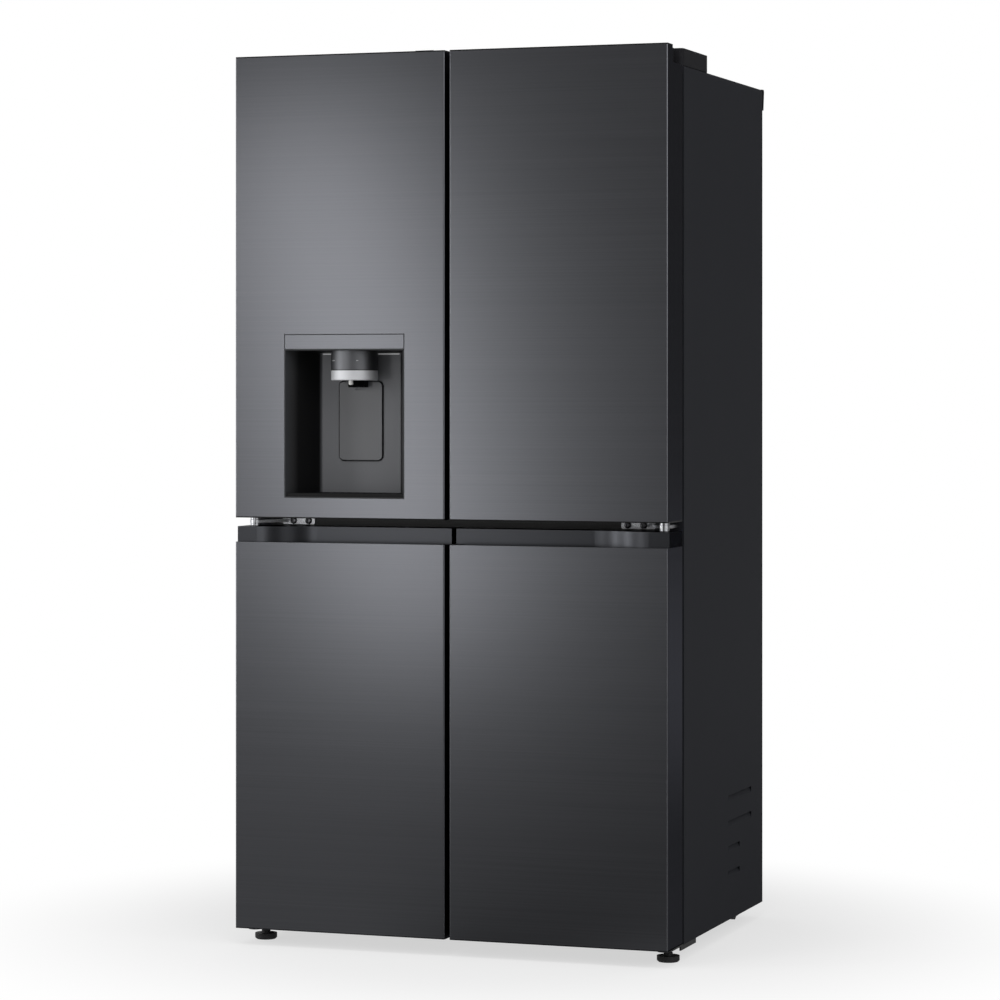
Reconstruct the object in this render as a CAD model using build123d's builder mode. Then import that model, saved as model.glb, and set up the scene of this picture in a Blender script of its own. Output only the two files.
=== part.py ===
from build123d import *
import os

# A four-door refrigerator: two tall doors over two short ones, with an ice and water dispenser in the
# upper left door. Millimetres. The origin is on the floor under the middle of the cabinet, +X is to the
# right as the front is faced, the doors face -Y and +Z is up.

# Overall sizes
WIDTH = 912.0
DEPTH = 724.0
HEIGHT = 1797.0
FLOOR_GAP = 32.0          # floor to the underside of the cabinet
DOOR_LIFT = 2.0           # cabinet underside to the lower doors' bottom edge
DOOR_RISE = 34.0          # upper doors' top edge over the cabinet's top
MID_LEVEL = 856.0         # height of the gap between upper and lower doors
MID_GAP = 18.0
CENTRE_GAP = 10.0
DOOR_THICK = 101.0
SEAL_GAP = 12.0           # between the doors' rear faces and the cabinet's front
TRIM_THICK = 14.0         # rear top trim, behind the cabinet's back
TRIM_HIGH = 44.0
TRIM_LEAN = 5.0           # its rear face leans out by this much
TRIM_WALL = 2.5

# Sheet, wall and running clearances
SHEET = 1.2
PAN_SHEET = 1.5
LINER = 2.5
EDGE_R = 3.0              # rounded front edges of the doors
CORNER_R = 6.0            # top corners of the cabinet's outer sheet
LINER_R = 18.0            # rear corners of the upper compartment
FLANGE = 30.0             # folded front edge of the outer sheet
RUN = 0.05                # radial play of every pin and shaft
CLEAR = 0.3               # small gap between pieces that only lie close
BEADS = 4                 # stiffening beads pressed into the back
BEAD_PITCH = 182.0
BEAD_WIDE = 26.0
BEAD_HIGH = 3.0
BEAD_END = 90.0           # from a bead's end to the sheet's edge

# Insulated walls and compartments
SIDE_WALL = 54.0
TOP_WALL = 55.0
REAR_WALL = 63.0
BOTTOM_WALL = 63.0
UPPER_SILL = 37.0         # mid level to the upper compartment's floor
LOWER_HEAD = 33.0         # mid level down to the lower compartments' ceiling
POST = 56.0               # fixed post between the lower compartments
MACHINE_SLOPE = 40.0      # lean of the machine room's front wall
ROOM_SPARE = 20.4         # clear depth in front of the compressor and behind it
ROOM_HEAD = 48.0          # clear height over the drain pan
STEP_WALL = 50.0          # foam between the machine room and the lower liners

# Hinges and feet
HINGE_IN = 22.0           # pin axis, in from the cabinet's side
HINGE_BACK = 52.0         # pin axis, back from the doors' front
PIN_R = 6.0
PIN_LONG = 24.0           # depth of each pin's bore in a door
PIN_SHORT = 2.0           # a pin ends this far before its bore does
PIN_FLOOR = 6.0           # plastic past the end of a bore
HINGE_PLATE = 4.0
ARM_R = 11.0              # rounded end of a hinge arm
ARM_OUT = 2.0             # top arm's outer edge, past the pin axis
ARM_GAP = 10.0            # top arm's inner edge to the wall of the door's notch
PLATE_START = 8.0         # top hinge's fixing plate, behind the cabinet's front
PLATE_SHORT = 65.0        # its rear edge ahead of the cover's rear end
PLATE_GAP = 4.5           # its inner edge to the cover's wall
MID_PLATE = 6.0
MID_FIX_NEAR = 58.0       # middle hinge's fixing plate, from the cabinet's side
MID_FIX_FAR = 128.0
MID_FIX_HIGH = 15.0
MID_FIX_THICK = 3.0
MID_FIX_R = 3.0
MID_ARM_ROOT = 13.0       # how far the arm's root reaches on to the fixing plate
MID_ARM_DEEP = 10.0
RAIL_LINE = 4.0           # slim raised line along the middle rail
RAIL_LINE_END = 3.0
BOTTOM_PLATE = 6.0
BRACKET_EDGE = 8.0        # bottom bracket, in from the cabinet's side
BRACKET_WIDE = 66.0
BRACKET_START = 5.0       # and behind the cabinet's front
BRACKET_LONG = 108.0
BRACKET_LIP = 8.0
NOTCH_FRONT = 17.0        # front wall of the door's hinge notch, ahead of the pin axis
NOTCH_WIDE = 56.0
NOTCH_R = 10.0
COVER_EDGE = 2.0          # top hinge cover, in from the cabinet's side
COVER_LONG = 180.0
COVER_WIDE = 85.0
COVER_WALL = 2.5
COVER_R = 8.0
NOSE_OUT = 2.0            # the cover's nose over the arm: past the pin axis
NOSE_GAP = 4.0            # and from the wall of the door's notch
FOOT_R = 22.5
FOOT_HIGH = 12.0
FOOT_NECK_R = 9.0
FOOT_NECK = 6.0
FOOT_STEM_R = 5.0
FOOT_EDGE = 3.0
FOOT_IN = 27.0            # foot axis, in from the cabinet's side
FOOT_BACK = 95.0          # foot axis, back from the doors' front
ROLLER_PLAY = 3.0         # between a roller and the base pan
ROLLER_WIDE = 22.0
ROLLER_AXLE_R = 4.0
ROLLER_IN = 56.0
ROLLER_FROM_REAR = 58.0
EAR = 3.0
EAR_PLAY = 1.0
EAR_LONG = 26.0
EAR_DROP = 7.0            # below the roller's axle
SKID_WIDE = 26.0          # stiffening runner under each side of the base pan
SKID_HIGH = 3.0
SKID_LONG = 135.0
SKID_EDGE = 4.0
SKID_AHEAD = 20.0         # ahead of the machine room's front wall

# Doors
SKIN = 1.2
CAP_LIP = 2.5             # edge of an end cap that shows past the skin
CAP_PLUG = 15.0
BOSS_LONG = 90.0          # hinge boss of the upper doors' top caps
GRIP_HIGH = 28.0          # finger pocket under an upper door
GRIP_OVER = 12.0          # plastic over it
GRIP_LIP = 10.0           # wall in front of a finger pocket
STRIP_HIGH = 31.0         # handle strip over the lower doors' front panels
STRIP_BACK = 42.0         # how far the strip lies behind the front
STRIP_STEP = 2.0          # at the hinge end, how far it lies behind the pocket's lip
STRIP_FLAT = 42.0         # straight length at the hinge end
STRIP_RAMP = 120.0        # length of the S-shaped run
POCKET_DOWN = 24.0        # finger pocket below the lower doors' panel edge
POCKET_END = 12.0
DIKE_WIDE = 30.0
DIKE_DEEP = 45.0
DIKE_DRAFT = 8.0          # degrees, outer walls of the dikes
DIKE_CLEAR = 12.0         # over a compartment's floor and under its ceiling
DIKE_SIDE = 8.0           # to a compartment's side wall
DIKE_POST = 14.0          # to the side of the lower post
DIKE_BAR = 8.0            # to the folded centre bar
SEAL_WIDE = 18.0
SEAL_BULB = 11.0
SEAL_BASE = 4.0
SEAL_PLAY = 0.7
SEAL_EDGE = 8.0
SEAL_LOW = 5.0            # over an upper door's bottom edge and under a lower door's top
SEAL_TOP = 6.0            # under the cabinet's top
SEAL_FOOT = 16.0          # over a lower door's bottom edge

# Dispenser, in the upper left door
DISP_X = -219.5
DISP_WIDE = 259.0
DISP_OVER = 1.0           # opening's bottom edge over the door's bottom cap
DISP_HIGH = 329.5
HEADER_HIGH = 30.0
HEADER_THICK = 2.0
HEADER_GAP = 1.8          # dark line round the control strip
HEADER_BLOCK = 32.0
RECESS_DEEP = 95.0
RECESS_TAPER = 42.0       # each side wall leans in by this much
RECESS_DROP = 5.0
HOUSING = 2.5
SPOUT_R = 47.5
SPOUT_SET = 10.5          # spout block's front behind the door's front
SPOUT_DROP = 43.0         # recess ceiling to the underside of the spout block
RING_HIGH = 20.0
RING_WALL = 6.5
RING_EDGE = 1.5
NOZZLE_R = 4.5
NOZZLE_AHEAD = 20.0       # ahead of the spout's axis
NOZZLE_LONG = 29.0
NOZZLE_TIP = 1.5
CHUTE_WIDE = 34.0
CHUTE_DEEP = 22.0
CHUTE_GAP = 6.0           # to the ring and to the recess's rear wall
CHUTE_LONG = 34.0
CHUTE_UP = 20.0           # how far its passage goes up into the spout block
CHUTE_WALL = 3.0
PADDLE_WIDE = 92.0
PADDLE_HIGH = 158.0
PADDLE_THICK = 6.0
PADDLE_TOP_DROP = 66.0    # recess ceiling to the paddle's top edge
PADDLE_PROUD = 4.0
PADDLE_GAP = 3.0
PADDLE_PIN_R = 2.5
PADDLE_PIN_DROP = 6.0
PADDLE_PIN_BACK = 5.0
PADDLE_PIN_LONG = 3.0     # of a pin inside the housing's wall
PADDLE_EAR = 6.0
PADDLE_EAR_IN = 9.0
PADDLE_EAR_R = 4.0
PADDLE_R = 9.0
PADDLE_STROKE = 0.09      # travel of its lower edge for each millimetre of its height
PADDLE_MARK = 22.0        # slim groove under its top edge
PADDLE_MARK_HIGH = 2.0
PADDLE_MARK_DEEP = 2.5
PADDLE_MARK_DROP = 14.0
POCKET_SPARE = 2.0
POCKET_WALL = 6.0
TRAY_HIGH = 7.0
TRAY_FLOOR = 3.0
TRAY_FRONT = 2.0
TRAY_REAR = 4.0
TRAY_SLOTS = 9
TRAY_SLOT = 6.0
TRAY_PITCH = 16.0
TRAY_SLOT_END = 19.0

# Folding centre bar on the upper left door
BAR_THICK = 18.5
BAR_LONG = 69.0
BAR_X = -34.75
BAR_GAP = 0.25            # its front behind the cabinet's front
BAR_CLEAR = 14.0
BAR_PIN_R = 3.5
BAR_PIN_LONG = 7.0
BAR_ARM = 5.0
BAR_ARM_WIDE = 14.0
BAR_ARM_END = 8.0         # behind the pivot axis

# Inside the compartments
LEDGE = 12.0
LEDGE_HIGH = 8.0
SHELF_FRONT = 5.0         # shelves' front edge behind the ice maker's case
SHELF_REAR = 8.0          # shelves' rear edge ahead of the air tower
SHELF_HIGH = 14.0
SHELF_RIM = 14.0
GLASS = 4.0
GLASS_LIP = 5.0
SHELVES = 2
CRISPER_HIGH = 205.0
CRISPER_HEAD = 14.0       # from there to the shelf that covers the crispers
CRISPER_REAR = 8.0
DRAWER_WALL = 3.0
DRAWER_PLAY = 3.0
DRAWER_CORNER = 14.0
LIP_DEEP = 16.0           # handle lip of a drawer
LIP_HIGH = 22.0
LIP_BACK = 2.0            # a handle lip behind the shelves' or ledges' front edge
DRAWER_FRONT = 50.0       # lower drawers' front behind the cabinet's front
DRAWER_HEAD = 12.0        # clear over each lower drawer
DRAWER_REAR = 6.0
STEP_GAP = 8.0            # lowest drawers' rear to the step over the machine room
LEDGE_START = 10.0
LEDGE_REAR = 20.0
DRAWER_ROWS = 3
BIN_DEEP = 110.0
BIN_HIGH = 105.0
BIN_WALL = 3.0
BIN_R = 20.0
RIGHT_BINS = 4
ICE_DEEP = 146.0
ICE_R = 12.0
ICE_OVER = 25.0           # ice maker's case over the dispenser's top edge
ICE_BIN_GAP = 10.0        # over the case and over the bin on it
COVER_PANEL = 3.0
COVER_SPACE = 50.0        # evaporator space behind the rear panel
TOWER_WIDE = 180.0
TOWER_DEEP = 22.0
TOWER_EDGE = 8.0
TOWER_SLANT = 14.0
TOWER_END = 20.0
VENT_HIGH = 8.0
VENT_PITCH = 18.0
VENTS = 3
TOWER_VENT_IN = 30.0      # slots' ends, in from the tower's sides
TOWER_VENT_RISE = 60.0    # lowest slot over each shelf level
COVER_VENT_IN = 80.0
COVER_VENT_RISE = 100.0

# Machine room and evaporator
COMPRESSOR_IN = 186.0     # its axis, in from the cabinet's left side
COMPRESSOR_R = 78.0
COMPRESSOR_HIGH = 165.0
COMPRESSOR_DOME = 40.0
COMPRESSOR_PLATE = 3.0
PLATE_EDGE = 20.0         # of the plate past its grommets
GROMMET_R = 10.0
GROMMET_HIGH = 14.0
GROMMET_X = 150.0
GROMMET_Y = 110.0
TERMINAL_OUT = 28.0       # electric box on the compressor's side
TERMINAL_WIDE = 60.0
TERMINAL_LOW = 50.0
TERMINAL_HIGH = 65.0
PIPE_X = 40.0             # filling pipe, from the compressor's axis
PIPE_Y = 35.0
PIPE_LONG = 70.0
CONDENSER_IN = 126.0      # its end plate, in from the cabinet's right side
CONDENSER_LONG = 300.0
CONDENSER_HIGH = 180.0
CONDENSER_DEEP = 160.0
CONDENSER_PLATE = 2.0
CONDENSER_ROWS = 3
TUBE_END = 8.0            # tubes past the end plates
TUBE_R = 4.0
TUBE_SIDES = 8
DRAIN_EDGE = 10.0         # drain pan past the condenser's ends
DRAIN_HIGH = 30.0
DRAIN_WALL = 2.5
FAN_R = 68.0
FAN_HUB_R = 20.0
FAN_HUB = 16.0
FAN_AHEAD = 82.0          # fan bracket, from the condenser
FAN_PLATE = 3.0
FAN_FRAME = 14.0          # bracket's edge past the fan's tips
FAN_TIP = 4.0             # gap round a fan's tips
FAN_PLAY = 3.0            # hub to bracket
FAN_SHAFT = 20.0
FAN_Z = 150.0
SPIDER = 12.0             # bar that carries the motor across the opening
SPIDER_HOLD = 2.0         # and its hold past the opening's edge
MOTOR_R = 18.0
MOTOR_LONG = 37.0
SHAFT_R = 3.0
BLADES = 5
BLADE_SINK = 3.0          # blade roots inside the hub
BLADE_ROOT = 2.5
BLADE_TIP = 1.5
ROOT_ANGLE = 50.0
TIP_ANGLE = 24.0
FIN = 1.5
FINS = 6
FIN_GAP = 4.0             # fins behind the rear panel
COIL_ROWS = 3
COIL_END = 10.0           # tubes past the outer fins
EVAPORATOR_HIGH = 200.0
EVAPORATOR_SIDE = 60.0    # fins' clear space to the compartment's side walls
EVAP_FAN_R = 52.0
EVAP_FAN_HEAD = 41.0      # fan's tips to the compartment's ceiling
EVAP_FAN_OVER = 58.0      # and to the fins below
EVAP_HUB_R = 16.0
EVAP_HUB = 14.0
EVAP_SPIDER = 8.0
EVAP_BOSS_R = 10.0
EVAP_BOSS = 10.0
EVAP_PLAY = 2.0
EVAP_SHAFT = 11.0

# Louvres pressed into the outer sheet, near the bottom of both sides at the rear
LOUVRE_TOP = 276.0
LOUVRE_PITCH = 52.0
LOUVRE_START = 437.0      # behind the doors' front
LOUVRE_LONG = 182.0
LOUVRE_SHORT = 90.0
LOUVRE_HIGH = 12.0
LOUVRE_IN = 6.0
LOUVRE_ROWS = 4
LOUVRE_ROOM = 4.0         # clear space in the foam round the louvres
SLOTS = 12                # vent slots of the machine room's cover, in two rows
SLOT_PITCH = 52.0
SLOT_RISE = 78.0
SLOT_WIDE = 9.0
SLOT_HIGH = 60.0
GLAND_IN = 70.0           # cord gland, in from the cabinet's side
GLAND_UP = 45.0
GLAND_R = 12.0
GLAND_LONG = 6.0
CORD_R = 5.0

# Places worked out from the sizes above
HALF = WIDTH / 2
FRONT = -DEPTH / 2
DOOR_REAR = FRONT + DOOR_THICK
CAB_FRONT = DOOR_REAR + SEAL_GAP
CAB_REAR = DEPTH / 2 - TRIM_THICK
CAB_TOP = HEIGHT - DOOR_RISE
DOOR_BOTTOM = FLOOR_GAP + DOOR_LIFT
LOWER_TOP = MID_LEVEL - MID_GAP / 2
UPPER_BOTTOM = MID_LEVEL + MID_GAP / 2
PANEL_TOP = LOWER_TOP - STRIP_HIGH
DOOR_INNER = CENTRE_GAP / 2
INNER_X = HALF - SIDE_WALL
POST_X = POST / 2
INNER_REAR = CAB_REAR - REAR_WALL
FRIDGE_FLOOR = MID_LEVEL + UPPER_SILL
FRIDGE_TOP = CAB_TOP - TOP_WALL
FREEZER_TOP = MID_LEVEL - LOWER_HEAD
FREEZER_FLOOR = FLOOR_GAP + BOTTOM_WALL
FLANGE_X = HALF - FLANGE
PAN_TOP = FLOOR_GAP + PAN_SHEET
BACK_Y = CAB_REAR - SHEET
COIL_TOP = PAN_TOP + CONDENSER_HIGH
MACHINE_Y = BACK_Y - 2 * (COMPRESSOR_R + ROOM_SPARE) - MACHINE_SLOPE
MACHINE_TOP = COIL_TOP + DRAIN_HIGH + ROOM_HEAD - PAN_SHEET
ROOM_Y = (MACHINE_Y + MACHINE_SLOPE + BACK_Y) / 2
STEP_Y = MACHINE_Y - STEP_WALL
STEP_Z = MACHINE_TOP + STEP_WALL
LOUVRE_Y = FRONT + LOUVRE_START
COMPRESSOR_X = -HALF + COMPRESSOR_IN
CONDENSER_X1 = HALF - CONDENSER_IN
CONDENSER_X0 = CONDENSER_X1 - CONDENSER_LONG
BRACKET_X = CONDENSER_X0 - FAN_AHEAD
FOOT_X = HALF - FOOT_IN
FOOT_Y = FRONT + FOOT_BACK
ROLLER_R = (FLOOR_GAP - ROLLER_PLAY) / 2
ROLLER_X = HALF - ROLLER_IN
ROLLER_Y = CAB_REAR - ROLLER_FROM_REAR
HINGE_X = HALF - HINGE_IN
HINGE_Y = FRONT + HINGE_BACK
NOTCH_X = HALF - NOTCH_WIDE
NOTCH_Y = HINGE_Y - NOTCH_FRONT
NOTCH_Z = CAB_TOP - 1.0
BOSS_LOW = NOTCH_Z - PIN_LONG - PIN_FLOOR
BOSS_Y = FRONT + 2 * EDGE_R
CAP_TOP_LOW = HEIGHT - CAP_LIP - CAP_PLUG
GRIP_TOP = UPPER_BOTTOM + GRIP_HIGH + GRIP_OVER
GRIP_X = HALF - STRIP_FLAT - STRIP_RAMP
STRIP_END_BACK = GRIP_LIP + STRIP_STEP
PLUG_LOW = PANEL_TOP - POCKET_DOWN - PIN_FLOOR
FILL_LOW = DOOR_BOTTOM + PIN_LONG + PIN_FLOOR
DISP_LOW = GRIP_TOP + DISP_OVER
DISP_TOP = DISP_LOW + DISP_HIGH
RECESS_TOP = DISP_TOP - HEADER_HIGH
RECESS_REAR = FRONT + RECESS_DEEP
SPOUT_LOW = RECESS_TOP - SPOUT_DROP
SPOUT_Y = FRONT + SPOUT_SET + SPOUT_R
CHUTE_REACH = ((SPOUT_R - RING_WALL - CHUTE_GAP) ** 2 - CHUTE_WIDE ** 2 / 4) ** 0.5
CHUTE_REAR = min(SPOUT_Y + CHUTE_REACH, RECESS_REAR - CHUTE_GAP)
PADDLE_TOP = RECESS_TOP - PADDLE_TOP_DROP
PADDLE_LOW = PADDLE_TOP - PADDLE_HIGH
PADDLE_AXIS_Y = RECESS_REAR + PADDLE_PIN_BACK
PADDLE_AXIS_Z = PADDLE_TOP - PADDLE_PIN_DROP
POCKET_REAR = RECESS_REAR + PADDLE_THICK - PADDLE_PROUD + PADDLE_HIGH * PADDLE_STROKE + POCKET_SPARE
DIKE_REAR = DOOR_REAR + DIKE_DEEP
DIKE_LOW = FRIDGE_FLOOR + DIKE_CLEAR
DIKE_TOP = FRIDGE_TOP - DIKE_CLEAR
DIKE_OUT = INNER_X - DIKE_SIDE
DIKE_CENTRE = -BAR_X + BAR_THICK / 2 + DIKE_BAR
LOWER_DIKE_CENTRE = POST_X + DIKE_POST
BIN_X0 = DIKE_CENTRE + DIKE_WIDE
BIN_X1 = DIKE_OUT - DIKE_WIDE
BIN_PITCH = (DIKE_TOP - DIKE_LOW - DIKE_WIDE) / RIGHT_BINS
BEHIND_TOP = DISP_TOP + ICE_OVER
ICE_TOP = DIKE_TOP - DIKE_WIDE - BIN_HIGH - 2 * ICE_BIN_GAP
BAR_Y = CAB_FRONT + BAR_GAP + BAR_THICK / 2
BAR_LOW = FRIDGE_FLOOR + BAR_CLEAR
BAR_TOP = FRIDGE_TOP - BAR_CLEAR
SHELF_X = INNER_X - CLEAR
SHELF_Y0 = DOOR_REAR + ICE_DEEP + SHELF_FRONT
SHELF_Y1 = INNER_REAR - TOWER_DEEP - SHELF_REAR
CRISPER_TOP = FRIDGE_FLOOR + CRISPER_HIGH + CRISPER_HEAD
SHELF_PITCH = (FRIDGE_TOP - CRISPER_TOP) / (SHELVES + 1)
SHELF_LEVELS = [CRISPER_TOP + SHELF_PITCH * row for row in range(SHELVES + 1)]
DRAWER_Y0 = CAB_FRONT + DRAWER_FRONT
PANEL_Y = INNER_REAR - COVER_SPACE
EVAP_X = (POST_X + INNER_X) / 2
EVAP_FAN_Y = PANEL_Y + EVAP_BOSS + EVAP_PLAY + EVAP_HUB / 2
EVAP_FAN_Z = FREEZER_TOP - EVAP_FAN_HEAD - EVAP_FAN_R
EVAPORATOR_TOP = EVAP_FAN_Z - EVAP_FAN_R - EVAP_FAN_OVER
FIN_Y = PANEL_Y + COVER_PANEL + FIN_GAP
DRAWER_PITCH = (FREEZER_TOP - STEP_Z) / (DRAWER_ROWS - 1)
DRAWER_LEVELS = [FREEZER_FLOOR] + [STEP_Z + DRAWER_PITCH * row for row in range(DRAWER_ROWS - 1)]
SIDES = {"left": -1, "right": 1}

os.makedirs("parts", exist_ok=True)


def save(piece, node):
    """Label a finished piece and write it under its node's name."""
    piece.label = node
    export_step(piece, f"parts/{node}.step")


def block(x0, x1, y0, y1, z0, z1, mode=Mode.ADD):
    """A straight-sided block between two corners, for webs, cuts and plain plates."""
    with Locations(((x0 + x1) / 2, (y0 + y1) / 2, (z0 + z1) / 2)):
        Box(abs(x1 - x0), abs(y1 - y0), abs(z1 - z0), mode=mode)


def rod(start, direction, radius, length, mode=Mode.ADD):
    """A round rod or bore from a start point along a direction."""
    with BuildSketch(Plane(origin=start, z_dir=direction)) as section:
        Circle(radius)
    extrude(section.sketch, amount=length, mode=mode)


def door_plan(side, level, inset, rear):
    """A door seen from above, its two front corners rounded, drawn at a height."""
    front = FRONT + inset
    with BuildSketch(Plane.XY.offset(level)) as plan:
        with Locations((side * (HALF + DOOR_INNER) / 2, (front + rear) / 2)):
            Rectangle(HALF - DOOR_INNER - 2 * inset, rear - front)
        fillet(plan.vertices().group_by(Axis.Y)[0], EDGE_R - inset)
    return plan.sketch


def strip_plan(side, level, front_set, rear):
    """The handle strip from above: straight and set back, swinging forward to the hinge end in an S."""
    x_end = side * (HALF - front_set)
    x_flat = side * (HALF - STRIP_FLAT)
    x_ramp = side * (HALF - STRIP_FLAT - STRIP_RAMP)
    x_mid = (x_flat + x_ramp) / 2
    y_end = FRONT + STRIP_END_BACK
    y_deep = FRONT + STRIP_BACK
    x_in = side * (DOOR_INNER + front_set)
    with BuildSketch(Plane.XY.offset(level)) as plan:
        with BuildLine():
            Line((x_end, y_end), (x_flat, y_end))
            first = TangentArc((x_flat, y_end), (x_mid, (y_end + y_deep) / 2), tangent=(-side, 0))
            TangentArc(first @ 1, (x_ramp, y_deep), tangent=first % 1)
            Polyline((x_ramp, y_deep), (x_in, y_deep), (x_in, rear), (x_end, rear), (x_end, y_end))
        make_face()
    return plan.sketch


def strip_pocket(side, level):
    """The finger pocket in front of the handle strip, behind a thin front lip."""
    x_flat = side * (HALF - STRIP_FLAT)
    x_ramp = side * (HALF - STRIP_FLAT - STRIP_RAMP)
    x_in = side * (DOOR_INNER + POCKET_END)
    y_lip, y_end, y_deep = FRONT + GRIP_LIP, FRONT + STRIP_END_BACK, FRONT + STRIP_BACK
    with BuildSketch(Plane.XY.offset(level)) as plan:
        with BuildLine():
            middle = ((x_flat + x_ramp) / 2, (y_end + y_deep) / 2)
            first = TangentArc((x_flat, y_end), middle, tangent=(-side, 0))
            TangentArc(first @ 1, (x_ramp, y_deep), tangent=first % 1)
            Polyline((x_ramp, y_deep), (x_in, y_deep), (x_in, y_lip), (x_flat, y_lip), (x_flat, y_end))
        make_face()
    return plan.sketch


def recess(margin, mode=Mode.ADD):
    """The dispenser's recess: a box that narrows to the rear, grown by a wall all round."""
    low, top = DISP_LOW + HOUSING - margin, RECESS_TOP - HOUSING + margin
    wide = DISP_WIDE - 2 * HOUSING + 2 * margin
    with BuildSketch(Plane.XZ.offset(-FRONT)) as mouth:
        with Locations((DISP_X, (low + top) / 2)):
            Rectangle(wide, top - low)
    with BuildSketch(Plane.XZ.offset(-RECESS_REAR - margin)) as back:
        with Locations((DISP_X, (low + top) / 2)):
            Rectangle(wide - 2 * RECESS_TAPER, top - low - 2 * RECESS_DROP)
    loft(sections=[mouth.sketch, back.sketch], mode=mode)


def housing_envelope(mode=Mode.ADD):
    """Everything that the dispenser's housing fills in the door, its recess included."""
    recess(HOUSING, mode)
    half = DISP_WIDE / 2
    block(DISP_X - half, DISP_X + half, FRONT, FRONT + HEADER_BLOCK,
          RECESS_TOP - 2 * HOUSING, DISP_TOP, mode)
    pocket = PADDLE_WIDE / 2 + PADDLE_GAP + POCKET_WALL
    block(DISP_X - pocket, DISP_X + pocket, RECESS_REAR, POCKET_REAR + HOUSING,
          PADDLE_LOW - PADDLE_GAP - POCKET_WALL, PADDLE_TOP + PADDLE_GAP + POCKET_WALL, mode)


def fan(centre, turn, tip_r, hub_r, hub_high, shaft_long):
    """An axial fan: hub with its shaft, and twisted blades lofted from root to tip."""
    with BuildPart() as rotor:
        Cylinder(hub_r, hub_high)
        rod((0, 0, -hub_high / 2), (0, 0, -1), SHAFT_R, shaft_long)
        for count in range(BLADES):
            spin = Rotation(0, 0, 360 / BLADES * count)
            spoke = Plane(spin * Location(Plane.YZ))
            with BuildSketch(spoke.offset(hub_r - BLADE_SINK)) as root:
                Rectangle(hub_r * 1.1, BLADE_ROOT, rotation=ROOT_ANGLE)
            with BuildSketch(spoke.offset(tip_r)) as tip:
                Rectangle(tip_r * 0.75, BLADE_TIP, rotation=TIP_ANGLE)
            loft(sections=[root.sketch, tip.sketch])
    return Location(centre) * Rotation(*turn) * rotor.part


def fridge_space(grow, mode=Mode.ADD):
    """The upper compartment, its rear corners rounded, grown by a wall."""
    with BuildSketch(Plane.XY.offset(FRIDGE_FLOOR - grow)) as plan:
        with Locations((0, (CAB_FRONT + INNER_REAR + grow) / 2)):
            Rectangle(2 * (INNER_X + grow), INNER_REAR + grow - CAB_FRONT)
        fillet(plan.vertices().group_by(Axis.Y)[-1], LINER_R + grow)
    extrude(plan.sketch, amount=FRIDGE_TOP - FRIDGE_FLOOR + 2 * grow, mode=mode)


def freezer_space(side, grow, mode=Mode.ADD):
    """One lower compartment, its floor stepped up over the machine room, grown by a wall."""
    with BuildSketch(Plane.YZ.offset(side * (POST_X - grow))) as section:
        with BuildLine():
            Polyline((CAB_FRONT, FREEZER_FLOOR - grow), (STEP_Y + grow, FREEZER_FLOOR - grow),
                     (STEP_Y + MACHINE_SLOPE + grow, STEP_Z - grow), (INNER_REAR + grow, STEP_Z - grow),
                     (INNER_REAR + grow, FREEZER_TOP + grow), (CAB_FRONT, FREEZER_TOP + grow), close=True)
        make_face()
    extrude(section.sketch, amount=side * (INNER_X - POST_X + 2 * grow), mode=mode)


# Cabinet: outer sheet, back, base, foam, and the steel rail and post that face the dividers
with BuildPart() as cabinet_wrap:
    for inset, depth, mode in ((0, BACK_Y + SHEET - CAB_FRONT, Mode.ADD), (SHEET, DEPTH, Mode.SUBTRACT)):
        with BuildSketch(Plane.XZ.offset(-CAB_FRONT)) as hoop:
            with Locations((0, (CAB_TOP - inset + FLOOR_GAP) / 2)):
                Rectangle(WIDTH - 2 * inset, CAB_TOP - inset - FLOOR_GAP)
            fillet(hoop.vertices().group_by(Axis.Y)[-1], CORNER_R - inset)
        extrude(amount=-depth, mode=mode)
    with BuildSketch(Plane.XZ.offset(-CAB_FRONT)) as fold:
        with Locations((0, (CAB_TOP + FLOOR_GAP) / 2)):
            Rectangle(WIDTH, CAB_TOP - FLOOR_GAP)
        fillet(fold.vertices().group_by(Axis.Y)[-1], CORNER_R)
        with Locations((0, (CAB_TOP - FLANGE + FLOOR_GAP) / 2)):
            Rectangle(2 * FLANGE_X, CAB_TOP - FLANGE - FLOOR_GAP, mode=Mode.SUBTRACT)
    extrude(amount=-SHEET)
    for side in SIDES.values():
        for row in range(LOUVRE_ROWS):
            low = LOUVRE_TOP - LOUVRE_PITCH * row
            long = LOUVRE_LONG if row < LOUVRE_ROWS / 2 else LOUVRE_SHORT
            block(side * (HALF - 2 * SHEET), side * (HALF + 1), LOUVRE_Y, LOUVRE_Y + long,
                  low, low + LOUVRE_HIGH, Mode.SUBTRACT)
            with BuildSketch(Plane.XZ.offset(-LOUVRE_Y)) as blade:
                with BuildLine():
                    Polyline((side * HALF, low), (side * (HALF - SHEET), low),
                             (side * (HALF - LOUVRE_IN), low + LOUVRE_HIGH - SHEET),
                             (side * (HALF - LOUVRE_IN + SHEET), low + LOUVRE_HIGH - SHEET), close=True)
                make_face()
            extrude(amount=-long)
save(cabinet_wrap.part, "cabinet_wrap")

with BuildPart() as back_panel:
    block(-HALF + SHEET, HALF - SHEET, BACK_Y, CAB_REAR, MACHINE_TOP, CAB_TOP - SHEET)
    fillet(back_panel.edges().filter_by(Axis.Y).group_by(Axis.Z)[-1], CORNER_R - SHEET)
    with BuildSketch(Plane.XZ.offset(-CAB_REAR)) as beads:
        with Locations((0, (MACHINE_TOP + CAB_TOP) / 2)):
            with GridLocations(BEAD_PITCH, 0, BEADS, 1):
                SlotOverall(CAB_TOP - MACHINE_TOP - 2 * BEAD_END, BEAD_WIDE, rotation=90)
    extrude(amount=-BEAD_HIGH, taper=30)
save(back_panel.part, "back_panel")

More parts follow.
